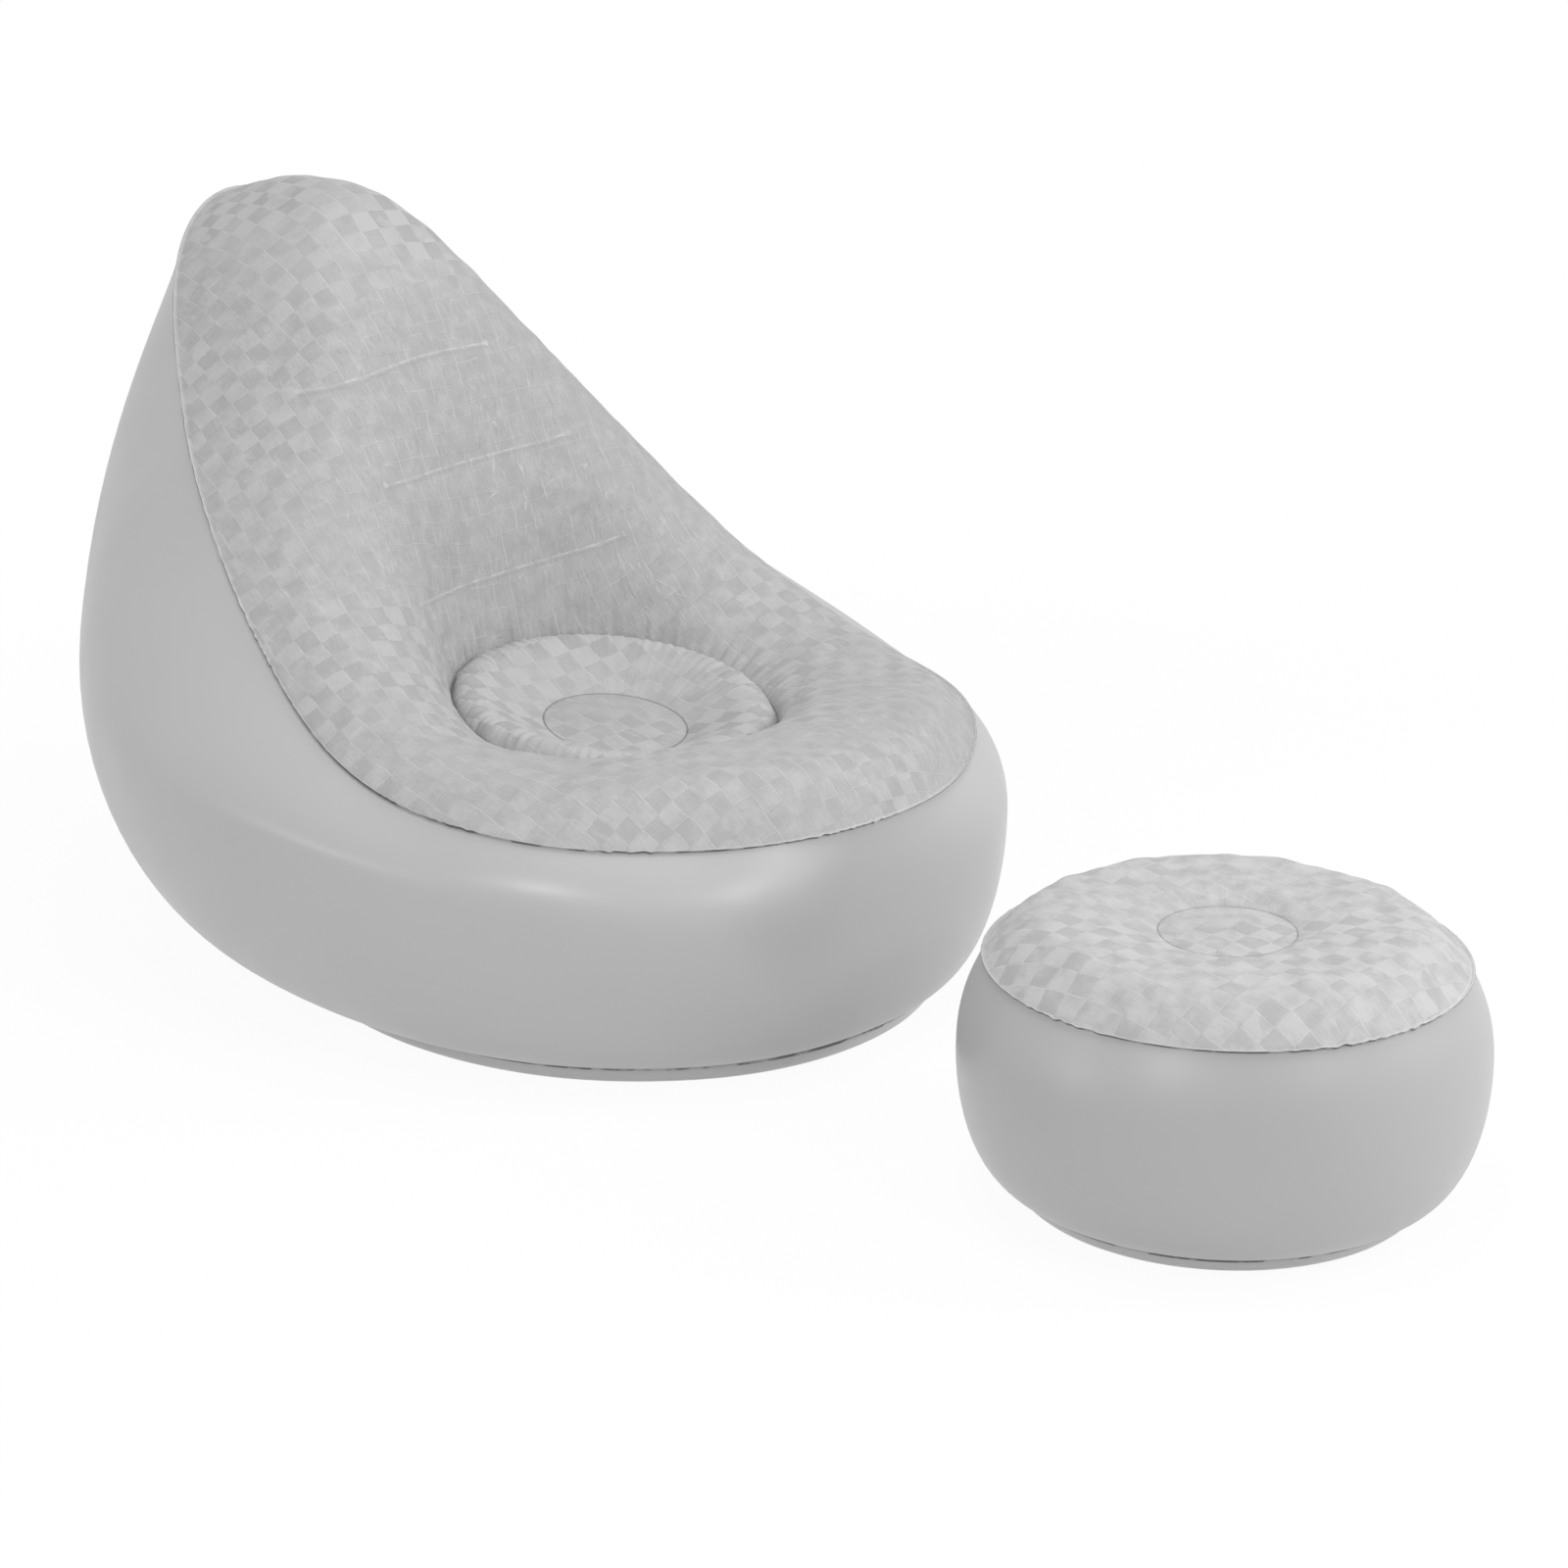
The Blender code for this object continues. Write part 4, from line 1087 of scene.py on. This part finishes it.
class Envelope:
    """Sheets that the chair and the footrest have in common."""

    seam_clear = 0.0004
    rim_shade = 0.0044
    band_rows = 9
    crown_power = 2.4
    disc_calm = (0.0, 0.03)
    billow: Ripples
    rumple: Ripples
    billow_depth: float
    rumple_depth: float
    valve: ValveSeat
    wall_rows: int
    pan_rows: int
    top_rows: tuple[int, int]
    disc_rows: int
    disc_crown: float
    disc_relief: float
    disc_wear: float

    def __init__(self, body: Body, skin: Skin, gathers: Gathers, finishes: Finishes, shift: Vector) -> None:
        """Keep what every sheet of one air chamber needs.

        Args:
            body: the body that the sheets ride on.
            skin: the blown-up shape.
            gathers: puckers and gathers of the welds.
            finishes: the materials.
            shift: place of the chamber in the row frame.
        """
        self.body = body
        self.skin = skin
        self.gathers = gathers
        self.finishes = finishes
        self.vinyl = finishes.satin
        self.flock = finishes.flock
        self.shift = shift
        seam = in_space(skin.rings.seam[:, None], skin.direction)[:, 0]
        self.seam_length = float(np.linalg.norm(np.roll(seam, -1, axis=0) - seam, axis=1).sum())
        burst = np.clip(gathers.burst.round_ring(skin.direction, self.seam_length), gathers.burst_floor, 1)
        envelope = gathers.burst_least + gathers.burst_gain * burst
        self.pucker = gathers.seam.round_ring(skin.direction, self.seam_length) * envelope * gathers.seam_depth

    def ring_weld(self, direction: Array) -> Array:
        """Outermost ring weld of the top; each chamber gives its own."""
        raise NotImplementedError

    def disc_weld(self, direction: Array) -> Array:
        """Ring weld round the disc; each chamber gives its own."""
        raise NotImplementedError

    def disc_level(self) -> float:
        """Height of the disc's weld in its middle; each chamber gives its own."""
        raise NotImplementedError

    def patch(self, points: Array, flat: Array | None = None, from_ring: Array | None = None,
              mark: Array | None = None, wear: Array | None = None, from_weld: Array | None = None) -> Patch:
        """Attach what the materials read to a grid of points."""
        blank = np.zeros(points.shape[:2])
        run = blank if from_ring is None else from_ring
        turn = np.broadcast_to(even_directions(len(points))[:, None], blank.shape)
        polar = np.stack((np.cos(turn), np.sin(turn), run), -1)
        # weld: closeness to the nearest weld, which the materials turn into painted shade.
        return Patch(points + np.array(self.shift), np.zeros_like(points) if flat is None else flat, polar,
                     no_mark(points) if mark is None else mark, blank if wear is None else wear,
                     blank if from_weld is None else np.maximum(1 - from_weld / WELD_REACH, 0))

    def pucker_seam(self, profile: Array, distance: Array) -> Array:
        """Move the rows near the top weld up and down with its puckers."""
        across = unit(self.skin.top_fin[2])
        amount = self.pucker[:, None] * np.exp(-distance / self.gathers.seam_fade)
        return profile + amount[..., None] * across[:, None]

    def sheet(self, name: str, patch: Patch, slot: Slot, material: bpy.types.Material,
              **shape: bool) -> bpy.types.Object:
        """Sheet with its thickness and looks.

        Args:
            name: name of the piece and of the CAD node that it stands for.
            patch: its points, with what the material reads.
            slot: its slot of the record; not used.
            material: its material.
            shape: whether it has poles and is closed.

        Returns:
            The piece.
        """
        item = add_thickness(mesh_object(name, patch, **shape))
        dress(item, self.body, slot, material, name)
        return item

    def wall(self, name: str) -> bpy.types.Object:
        """Side wall with its two fins, flat round the valve."""
        profile = self.skin.wall(self.wall_rows)
        from_seam = from_weld_row(profile, -1 - FIN_ROWS)
        profile = self.pucker_seam(profile, from_seam)
        points = in_space(profile, self.skin.direction) + np.array(self.shift)
        points = self.valve.flatten(points) - np.array(self.shift)
        # Closeness to both welds, which the satin darkens into painted shade along the seams.
        from_weld = np.minimum(from_seam + self.seam_clear, from_weld_row(profile, FIN_ROWS))
        item = add_thickness(mesh_object(name, self.patch(points, from_weld=from_weld)))
        self.valve.pierce(item)
        dress(item, self.body, Slot.SATIN, self.vinyl, name)
        return item

    def base(self, name: str) -> bpy.types.Object:
        """Base panel with its turned-up rim, in satin painted lighter than the wall, with painted shade below its
        weld.
        """
        profile = self.skin.pan(self.pan_rows)
        # rim_shade widens the painted shade on the rim below the base weld.
        from_weld = along_profile(profile, -1 - FIN_ROWS) - self.rim_shade
        patch = self.patch(in_space(profile, self.skin.direction), from_weld=from_weld)
        return self.sheet(name, patch, Slot.SATIN, self.finishes.satin_painted_light, poles=True)

    def top_profile(self) -> Array:
        """Top sheet's profile, from its fin down to its ring weld."""
        return self.skin.top(self.ring_weld(self.skin.direction) + np.array((ring_offset(), 0)), *self.top_rows)

    def disc_profile(self, direction: Array) -> Array:
        """Disc's profile: from its middle out over the low crown to its weld."""
        edge = self.disc_weld(direction) - np.array((ring_offset(), 0))
        middle = np.tile((0.0, self.disc_level()), (len(direction), 1))
        t = np.sin(np.linspace(0, math.pi / 2, self.disc_rows + 1))[None, :, None]
        profile = middle[:, None] * (1 - t) + edge[:, None] * t
        profile[..., 1] += self.disc_crown * (1 - t[..., 0] ** self.crown_power)
        return profile

    def relief(self, points: Array, calm: Array) -> Array:
        """Billows and rumples of the flocked top, which calm down towards the welds."""
        return (self.billow.at(points) * self.billow_depth + self.rumple.at(points) * self.rumple_depth) * calm

    def disc(self, name: str, pattern: FlatPattern) -> bpy.types.Object:
        """Disc inside its ring weld."""
        direction = even_directions(DISC_COLUMNS)
        top = self.disc_profile(direction)
        profile = np.concatenate((top, hem_rows(top[:, -1])), axis=1)[:, ::-1]
        from_edge = from_weld_row(profile, HEM_ROWS)
        points = in_space(profile, direction)
        points[..., 2] += self.relief(points, smooth(from_edge, *self.disc_calm)) * self.disc_relief
        flat = pattern.at(0, direction, 0, HEM_ROWS)[:, ::-1]
        wear = np.full(from_edge.shape, self.disc_wear)
        patch = self.patch(points, flat, from_edge, wear=wear, from_weld=from_edge)
        return self.sheet(name, patch, Slot.FLOCK, self.flock, poles=True)

    def gather_ring(self, direction: Array, distance: Array, ring_length: float,
                    swells: tuple[tuple[float, float, float], ...] = ()) -> Array:
        """Depth of the gathers that run away from a ring weld.

        Args:
            direction: directions of the columns.
            distance: distance of each point from the weld.
            ring_length: length of the weld.
            swells: direction, half width and gain of the stretches where the gathers are bolder.

        Returns:
            Depth at each point.
        """
        waves = self.gathers.ring.round_ring(direction, ring_length)
        gain = np.ones(direction.shape)
        for centre, spread, extra in swells:
            off = np.angle(np.exp(1j * (direction - math.radians(centre)))) / math.radians(spread)
            gain += extra * np.exp(-off**2)
        waves = waves * gain
        rise = distance / self.gathers.ring_fade
        return (waves * self.gathers.ring_depth)[:, None] * rise * np.exp(1 - rise)

    def band(self, name: str, crease: Array) -> bpy.types.Object:
        """Upright ring band under a ring weld."""
        foot = SHEET_THICKNESS + SHEET_GAP
        height = foot + (crease[:, 1:] - SHEET_GAP - foot) * np.linspace(0, 1, self.band_rows)[None]
        reach = np.broadcast_to(crease[:, :1] + SHEET_THICKNESS / 2, height.shape)
        points = in_space(np.stack((reach, height), -1), even_directions(len(crease)))
        return self.sheet(name, self.patch(points), Slot.BAND, self.finishes.band)


def no_mark(points: Array, fin_rows_first: int = 0) -> Array:
    """Place relative to a weld mark where there is none: far off it, and 1 on the rows of a fin."""
    mark = np.ones_like(points)
    mark[..., 2] = 0
    mark[:, :fin_rows_first, 2] = 1
    return mark


def ring_offset() -> float:
    """Distance from the middle of a ring band to the face of the sheet beside it."""
    return SHEET_THICKNESS / 2 + SHEET_GAP


@dataclass(frozen=True)
class WeldMark:
    """Line of a weld across the backrest, where a band inside holds the panel back."""

    height: float
    tilt: float
    bow: float
    start: float
    end: float
    groove: float = 0.0005
    groove_width: float = 0.005
    hollow: float = 0.0020
    hollow_width: float = 0.040

    def level(self, x: Array | float) -> Array | float:
        """Height of the line."""
        return self.height + self.tilt * x + self.bow * x**2

    def place(self, points: Array) -> tuple[Array, Array]:
        """Height above the line and distance past its ends, both far for points in front."""
        x = points[..., 0]
        front = points[..., 1] <= 0
        past = np.maximum(self.start - x, x - self.end)
        return np.where(front, 1.0, points[..., 2] - self.level(np.clip(x, self.start, self.end))), past

    def share(self, points: Array, width: float) -> Array:
        """How close points lie to the mark, from 0 to 1."""
        above, past = self.place(points)
        return np.exp(-((np.hypot(above, np.maximum(past, 0)) / width) ** 2))


class Chair(Envelope):
    """Lounge chair: envelope, seat well, backrest welds and inner bands."""

    pad_radius = 0.188
    pad_height = 0.313
    pad_crown = 0.026
    disc_radius = 0.083
    disc_sink = 0.018
    disc_crown = 0.006
    lean = math.tan(math.radians(8.5))
    shoulder_share = (0.16, 1.54)
    slope_share = (0.55, 0.92)
    marks = (WeldMark(0.4317, 0.050, 0.708, -0.158, 0.168), WeldMark(0.5649, 0.035, 0.371, -0.150, 0.142),
             WeldMark(0.6868, 0.026, -0.417, -0.188, 0.075))
    folds = tuple(WeldMark(*line, groove=-0.0007, hollow=-0.0008, hollow_width=0.018)
                  for line in ((0.536, -0.180, 0.0, -0.030, 0.157), (0.494, -0.272, 2.45, -0.108, 0.147),
                               (0.448, 0.400, 0.0, 0.020, 0.160)))
    billow = Ripples(31, 0.09, 0.22)
    rumple = Ripples(32, 0.030, 0.070)
    billow_depth = 0.0016
    rumple_depth = 0.00065
    seam_calm = (0.0, 0.06)
    ring_calm = (0.0, 0.05)
    pad_calm = (0.0, 0.04)
    top_wear = 0.50
    rim_fade = (0.72, 0.82)
    rim_wear = 0.38
    back_spot = ((0.05, 0.55), 0.22)
    back_wear = 0.55
    corner_spot = ((0.26, -0.38), 0.17)
    corner_wear = 0.35
    pad_wear = 0.10
    disc_wear = 0.55
    pad_relief = 0.5
    disc_relief = 0.35
    outer_gather = 1.4
    inner_gather = 0.35
    swells = ((-150, 30, 2.6), (-100, 22, 1.2), (62, 24, 1.6))
    wall_rows = 24
    pan_rows = 9
    top_rows = (22, 96)
    pad_rows = 40
    disc_rows = 26
    tie_columns = 37
    tie_rows = 13
    tie_width = 0.270
    tie_gap = 0.0008
    tie_fall = math.radians(18)
    reach_in = 0.02
    valve = ValveSeat((0.0, 0.768948, 0.445479), (0.0, 0.99732, 0.07313), 0.030, 0.062, 0.0148)

    def crease(self, radius: float, height: float, direction: Array) -> Array:
        """Ring weld of the leaning seat."""
        return np.stack((np.full(len(direction), radius), height - self.lean * radius * np.cos(direction)), -1)

    def ring_weld(self, direction: Array) -> Array:
        """Weld between the lounge panel and the ring pad."""
        return self.crease(self.pad_radius, self.pad_height, direction)

    def disc_level(self) -> float:
        """Height of the disc's weld in its middle."""
        return self.pad_height - self.disc_sink

    def disc_weld(self, direction: Array) -> Array:
        """Weld between the ring pad and the disc."""
        return self.crease(self.disc_radius, self.disc_level(), direction)

    def pad_profile(self, direction: Array) -> Array:
        """Ring pad: up from the outer weld, over its crown and down to the disc's weld."""
        outer = self.ring_weld(direction) - np.array((ring_offset(), 0))
        inner = self.disc_weld(direction) + np.array((ring_offset(), 0))
        scale = np.array((outer[0, 0] - inner[0, 0], self.pad_crown))
        shoulder = outer + np.array(self.shoulder_share) * scale * (-1, 1)
        slope = inner + np.array(self.slope_share) * scale
        return curve((outer, shoulder, slope, inner), np.linspace(0, 1, self.pad_rows + 1))

    def pattern(self) -> FlatPattern:
        """Flat coordinates over the whole top, from the disc's middle to the seam."""
        direction = self.skin.direction[::3]
        lounge = self.top_profile()[::3, FIN_ROWS:-HEM_ROWS]
        return FlatPattern((self.disc_profile(direction), self.pad_profile(direction)[:, ::-1], lounge[:, ::-1]),
                           direction)

    def mark_places(self, points: Array) -> Array:
        """Place of each point relative to the nearest weld mark, and 1 on the rows of the fin."""
        above, past = (np.stack(item) for item in zip(*(mark.place(points) for mark in self.marks)))
        nearest = np.argmin(np.abs(above), axis=0)[None]
        place = no_mark(points, FIN_ROWS + 1)
        place[..., 0] = np.take_along_axis(above, nearest, axis=0)[0]
        place[..., 1] = np.take_along_axis(past, nearest, axis=0)[0]
        return place

    def wear(self, points: Array) -> Array:
        """How far the air's pull has smoothed the embossing, most in the middle of the back."""
        x, y, z = np.moveaxis(points, -1, 0)
        back = soft_spot(x, z, *self.back_spot) * (y > 0)
        corner = soft_spot(x, y, *self.corner_spot)
        worn = self.top_wear - self.rim_wear * smooth(z, *self.rim_fade)
        return np.clip(worn + self.back_wear * back + self.corner_wear * corner, 0, 1)

    def lounge(self, pattern: FlatPattern) -> bpy.types.Object:
        """Lounge panel: rolled rim, backrest and seat well."""
        profile = self.top_profile()
        from_seam, from_ring = from_weld_row(profile, FIN_ROWS), from_weld_row(profile, -1 - HEM_ROWS)
        points = in_space(self.pucker_seam(profile, from_seam), self.skin.direction)
        calm = smooth(from_seam, *self.seam_calm) * smooth(from_ring, *self.ring_calm)
        depth = self.relief(points, calm)
        depth += self.gather_ring(self.skin.direction, from_ring, math.tau * self.pad_radius, self.swells)
        for mark in self.marks + self.folds:
            depth -= mark.share(points, mark.hollow_width) * mark.hollow * calm
            depth -= mark.share(points, mark.groove_width) * mark.groove * calm
        flat = pattern.at(2, self.skin.direction, HEM_ROWS, FIN_ROWS)[:, ::-1]
        places, wear = self.mark_places(points), self.wear(points)
        points = points + normals_of(points) * depth[..., None]
        patch = self.patch(points, flat, from_ring, places, wear, from_ring)
        return self.sheet("chair_lounge_panel", patch, Slot.FLOCK, self.flock)

    def ring_pad(self, pattern: FlatPattern) -> bpy.types.Object:
        """Ring pad of the seat, gathered at both of its welds."""
        direction = even_directions(PAD_COLUMNS)
        top = self.pad_profile(direction)
        profile = np.concatenate((hem_rows(top[:, 0])[:, ::-1], top, hem_rows(top[:, -1])), axis=1)
        from_outer, from_inner = from_weld_row(profile, HEM_ROWS), from_weld_row(profile, -1 - HEM_ROWS)
        from_weld = np.minimum(from_outer, from_inner)
        points = in_space(profile, direction)
        depth = self.relief(points, smooth(from_weld, *self.pad_calm)) * self.pad_relief
        depth += self.gather_ring(direction, from_outer, math.tau * self.pad_radius, self.swells) * self.outer_gather
        depth += self.gather_ring(direction, from_inner, math.tau * self.disc_radius) * self.inner_gather
        points = points + normals_of(points) * depth[..., None]
        flat = pattern.at(1, direction, HEM_ROWS, HEM_ROWS)[:, ::-1]
        wear = np.full(depth.shape, self.pad_wear)
        patch = self.patch(points, flat, from_weld, wear=wear, from_weld=from_weld)
        return self.sheet("chair_seat_ring_pad", patch, Slot.FLOCK, self.flock)

    def tie_band(self, name: str, mark: WeldMark, lounge: BVHTree, wall: BVHTree) -> bpy.types.Object:
        """Band from the backrest's weld mark back and down to the wall.

        Args:
            name: the piece's name.
            mark: the weld mark that the band holds.
            lounge: surface of the lounge panel.
            wall: surface of the side wall.

        Returns:
            The band.
        """
        way = Vector((0, math.cos(self.tie_fall), -math.sin(self.tie_fall)))
        lines = []
        for x in np.linspace(-self.tie_width / 2, self.tie_width / 2, self.tie_columns):
            outside = lounge.ray_cast(Vector((x, -1, mark.level(x))), Vector((0, 1, 0)))[0]
            start = lounge.ray_cast(outside + way * self.reach_in, -way)[0] + way * self.tie_gap
            end = wall.ray_cast(start + way * self.reach_in, way)[0] - way * self.tie_gap
            lines.append([start.lerp(end, t) for t in np.linspace(0, 1, self.tie_rows)])
        return self.sheet(name, self.patch(np.array(lines)), Slot.BAND, self.finishes.band, closed=False)

    def build(self) -> list[bpy.types.Object]:
        pattern = self.pattern()
        made = [self.wall("chair_side_wall"), self.base("chair_base_panel"), self.lounge(pattern),
                self.ring_pad(pattern), self.disc("chair_seat_disc", pattern)]
        direction = even_directions(DISC_COLUMNS)
        self.band("chair_seat_ring_band", self.ring_weld(direction))
        self.band("chair_seat_disc_band", self.disc_weld(direction))
        graph = bpy.context.evaluated_depsgraph_get()
        wall, lounge = (BVHTree.FromObject(made[number], graph) for number in (0, 2))
        for place, mark in zip(("lower", "middle", "upper"), self.marks):
            self.tie_band(f"chair_back_tie_band_{place}", mark, lounge, wall)
        return made


class Ottoman(Envelope):
    """Round footrest: envelope and the sunk disc of its top."""

    disc_radius = 0.070
    disc_sink = 0.0135
    disc_crown = 0.004
    billow = Ripples(41, 0.07, 0.16)
    rumple = Ripples(42, 0.025, 0.060)
    billow_depth = 0.0015
    rumple_depth = 0.0011
    seam_calm = (0.0, 0.05)
    ring_calm = (0.0, 0.04)
    top_wear = 0.30
    disc_wear = 0.30
    disc_relief = 0.5
    ring_gather = 0.6
    wall_rows = 18
    pan_rows = 8
    top_rows = (20, 44)
    disc_rows = 22
    valve = ValveSeat((0.0, -0.623366, 0.167727), (0.0, 0.99716, 0.07532), 0.017, 0.036, 0.0063)

    def disc_level(self) -> float:
        """Height of the disc's weld."""
        return self.skin.height - self.disc_sink

    def ring_weld(self, direction: Array) -> Array:
        """Weld between the top sheet and the disc."""
        return np.tile((self.disc_radius, self.disc_level()), (len(direction), 1))

    def disc_weld(self, direction: Array) -> Array:
        """The same weld, as the disc's."""
        return self.ring_weld(direction)

    def pattern(self) -> FlatPattern:
        """Flat coordinates over the whole top."""
        direction = self.skin.direction[::3]
        top = self.top_profile()[::3, FIN_ROWS:-HEM_ROWS]
        return FlatPattern((self.disc_profile(direction), top[:, ::-1]), direction)

    def top(self, pattern: FlatPattern) -> bpy.types.Object:
        """Flocked top sheet."""
        profile = self.top_profile()
        from_seam, from_ring = from_weld_row(profile, FIN_ROWS), from_weld_row(profile, -1 - HEM_ROWS)
        points = in_space(self.pucker_seam(profile, from_seam), self.skin.direction)
        depth = self.relief(points, smooth(from_seam, *self.seam_calm) * smooth(from_ring, *self.ring_calm))
        depth += self.gather_ring(self.skin.direction, from_ring, math.tau * self.disc_radius) * self.ring_gather
        flat = pattern.at(1, self.skin.direction, HEM_ROWS, FIN_ROWS)[:, ::-1]
        mark = no_mark(points, FIN_ROWS + 1)
        points = points + normals_of(points) * depth[..., None]
        wear = np.full(depth.shape, self.top_wear)
        patch = self.patch(points, flat, from_ring, mark, wear, from_ring)
        return self.sheet("ottoman_top_panel", patch, Slot.FLOCK, self.flock)

    def build(self) -> list[bpy.types.Object]:
        pattern = self.pattern()
        # The footrest's wall takes the darker satin of painted shade.
        self.vinyl = self.finishes.satin_painted_shade
        self.flock = self.finishes.pale_flock
        made = [self.wall("ottoman_side_wall"), self.base("ottoman_base_panel"), self.top(pattern),
                self.disc("ottoman_disc", pattern)]
        self.band("ottoman_disc_band", self.ring_weld(even_directions(DISC_COLUMNS)))
        return made


# Studio


def seen_directly(canvas: Canvas) -> Socket:
    """1 for rays that show the surround itself: from the camera, a reflection or through glass."""
    path = canvas.node("ShaderNodeLightPath")
    seen = canvas.math("MAXIMUM", path.outputs["Is Camera Ray"], path.outputs["Is Glossy Ray"])
    return canvas.math("MAXIMUM", seen, path.outputs["Is Transmission Ray"])


@dataclass(frozen=True)
class Softbox:
    """Square soft lamp, placed round the object as the camera sees it."""

    name: str
    azimuth: float
    elevation: float
    distance: float
    size: float
    power: float


@dataclass(frozen=True)
class Studio:
    """Pale floor, soft lamps and the camera."""

    camera_place: tuple[float, float, float] = (-2.8898, -3.0728, 1.6745)
    heading: float = math.radians(-45.89)
    pitch: float = math.radians(19.03)
    lens: float = 88.03
    sensor: float = 36.0
    sight: float = 200.0
    target: tuple[float, float, float] = (0.0, -0.2, 0.3)
    world: float = 0.62
    floor_size: float = 40.0
    floor_drop: float = 0.0006
    floor_fade: tuple[float, float] = (1.0, 2.2)
    shadow: float = 0.06
    lamps: tuple[Softbox, ...] = (
        Softbox("left_front", -18, 28, 3.4, 0.6, 12.5),
        Softbox("right_front", 42, 29, 3.2, 0.5, 11),
        Softbox("left_side", -60, 10, 3.4, 0.8, 6),
        Softbox("right_side", 82, 26, 3.0, 1.0, 25.5),
        Softbox("top", 0, 82, 2.6, 1.2, 17),
    )

    def build(self) -> None:
        """Build the studio."""
        self._camera()
        for lamp in self.lamps:
            self._softbox(lamp)
        self._floor()
        self._world()

    def _camera(self) -> None:
        """Camera at the photo's viewing angle."""
        data = bpy.data.cameras.new("camera")
        data.sensor_width = self.sensor
        data.lens = self.lens
        data.clip_end = self.sight
        camera = linked_object("camera", data)
        camera.location = self.camera_place
        camera.rotation_euler = (math.pi / 2 - self.pitch, 0, self.heading)
        bpy.context.scene.camera = camera

    def _softbox(self, lamp: Softbox) -> None:
        """Place one lamp, aimed at the object."""
        data = bpy.data.lights.new(lamp.name, "AREA")
        data.size = lamp.size
        data.energy = lamp.power
        item = linked_object(lamp.name, data)
        side = math.radians(lamp.azimuth)
        rise = math.radians(lamp.elevation)
        toward = Vector((math.sin(self.heading), -math.cos(self.heading), 0))
        right = Vector((math.cos(self.heading), math.sin(self.heading), 0))
        way = (toward * math.cos(side) + right * math.sin(side)) * math.cos(rise)
        way.z = math.sin(rise)
        item.location = Vector(self.target) + way * lamp.distance
        item.rotation_euler = way.to_track_quat("Z", "Y").to_euler()

    def _floor(self) -> None:
        """Pale floor."""
        bm = bmesh.new()
        bmesh.ops.create_grid(bm, x_segments=1, y_segments=1, size=self.floor_size)
        bmesh.ops.translate(bm, verts=bm.verts, vec=(0, 0, -self.floor_drop))
        floor = linked_object("floor", finished_mesh(bm, "floor"))
        floor.data.materials.append(self._floor_paper())

    def _floor_paper(self) -> bpy.types.Material:
        """Paper that shows white but keeps a soft shadow near the object."""
        material, canvas, shader = new_material("floor_paper")
        canvas.join(shader, Base_Color=grey(0.95), Roughness=0.9, Specular_IOR_Level=0.1)
        away = canvas.distance(canvas.object_place(), self.target)
        share = canvas.product(seen_directly(canvas), canvas.ramp(away, *self.floor_fade, 1 - self.shadow, 1.0))
        white = canvas.node("ShaderNodeEmission").outputs[0]
        both = canvas.node("ShaderNodeMixShader", {0: share, 1: shader.outputs[0], 2: white})
        output = material.node_tree.nodes["Material Output"]
        canvas.tree.links.new(both.outputs[0], output.inputs["Surface"])
        return material

    def _world(self) -> None:
        """Even surround, white where the camera sees it."""
        world = bpy.data.worlds.new("surround")
        world.use_nodes = True
        canvas = Canvas(world.node_tree)
        background = world.node_tree.nodes["Background"]
        background.inputs["Color"].default_value = grey(1.0)
        strength = canvas.node("ShaderNodeMapRange", {"Value": seen_directly(canvas), "To Min": self.world,
                                                      "To Max": 1.0})
        canvas.tree.links.new(strength.outputs["Result"], background.inputs["Strength"])
        bpy.context.scene.world = world


def paint_nodes(finishes: Finishes) -> None:
    """Give the CAD nodes that stay their materials."""
    by_slot = {Slot.SATIN.value: finishes.satin, Slot.FLOCK.value: finishes.flock,
               Slot.BAND.value: finishes.band, Slot.MOULDING.value: finishes.moulding}
    slots = {part["node"]: part["material_slot"] for part in frame["record"]["subparts"]}
    for name, item in frame["nodes"].items():
        item.data.materials.clear()
        item.data.materials.append(by_slot[slots[name]])


def main() -> None:
    """Build the object and its studio."""
    logging.basicConfig(level=logging.INFO, format="%(message)s")
    bpy.context.scene.view_settings.view_transform = "Standard"
    finishes = Finishes()
    paint_nodes(finishes)
    chair_skin = ChairSkin(columns=600, pan_inset=0.025, fullness=Fullness())
    Chair(Body.CHAIR, chair_skin, Gathers(), finishes, Vector((0, 0, 0))).build()
    ottoman_skin = OttomanSkin(columns=480, pan_inset=0.020, fullness=Fullness())
    Ottoman(Body.OTTOMAN, ottoman_skin, Gathers(), finishes, Vector((0, -OTTOMAN_SPACING, 0))).build()
    Studio().build()
    bpy.context.view_layer.update()


if __name__ == "__main__":
    main()
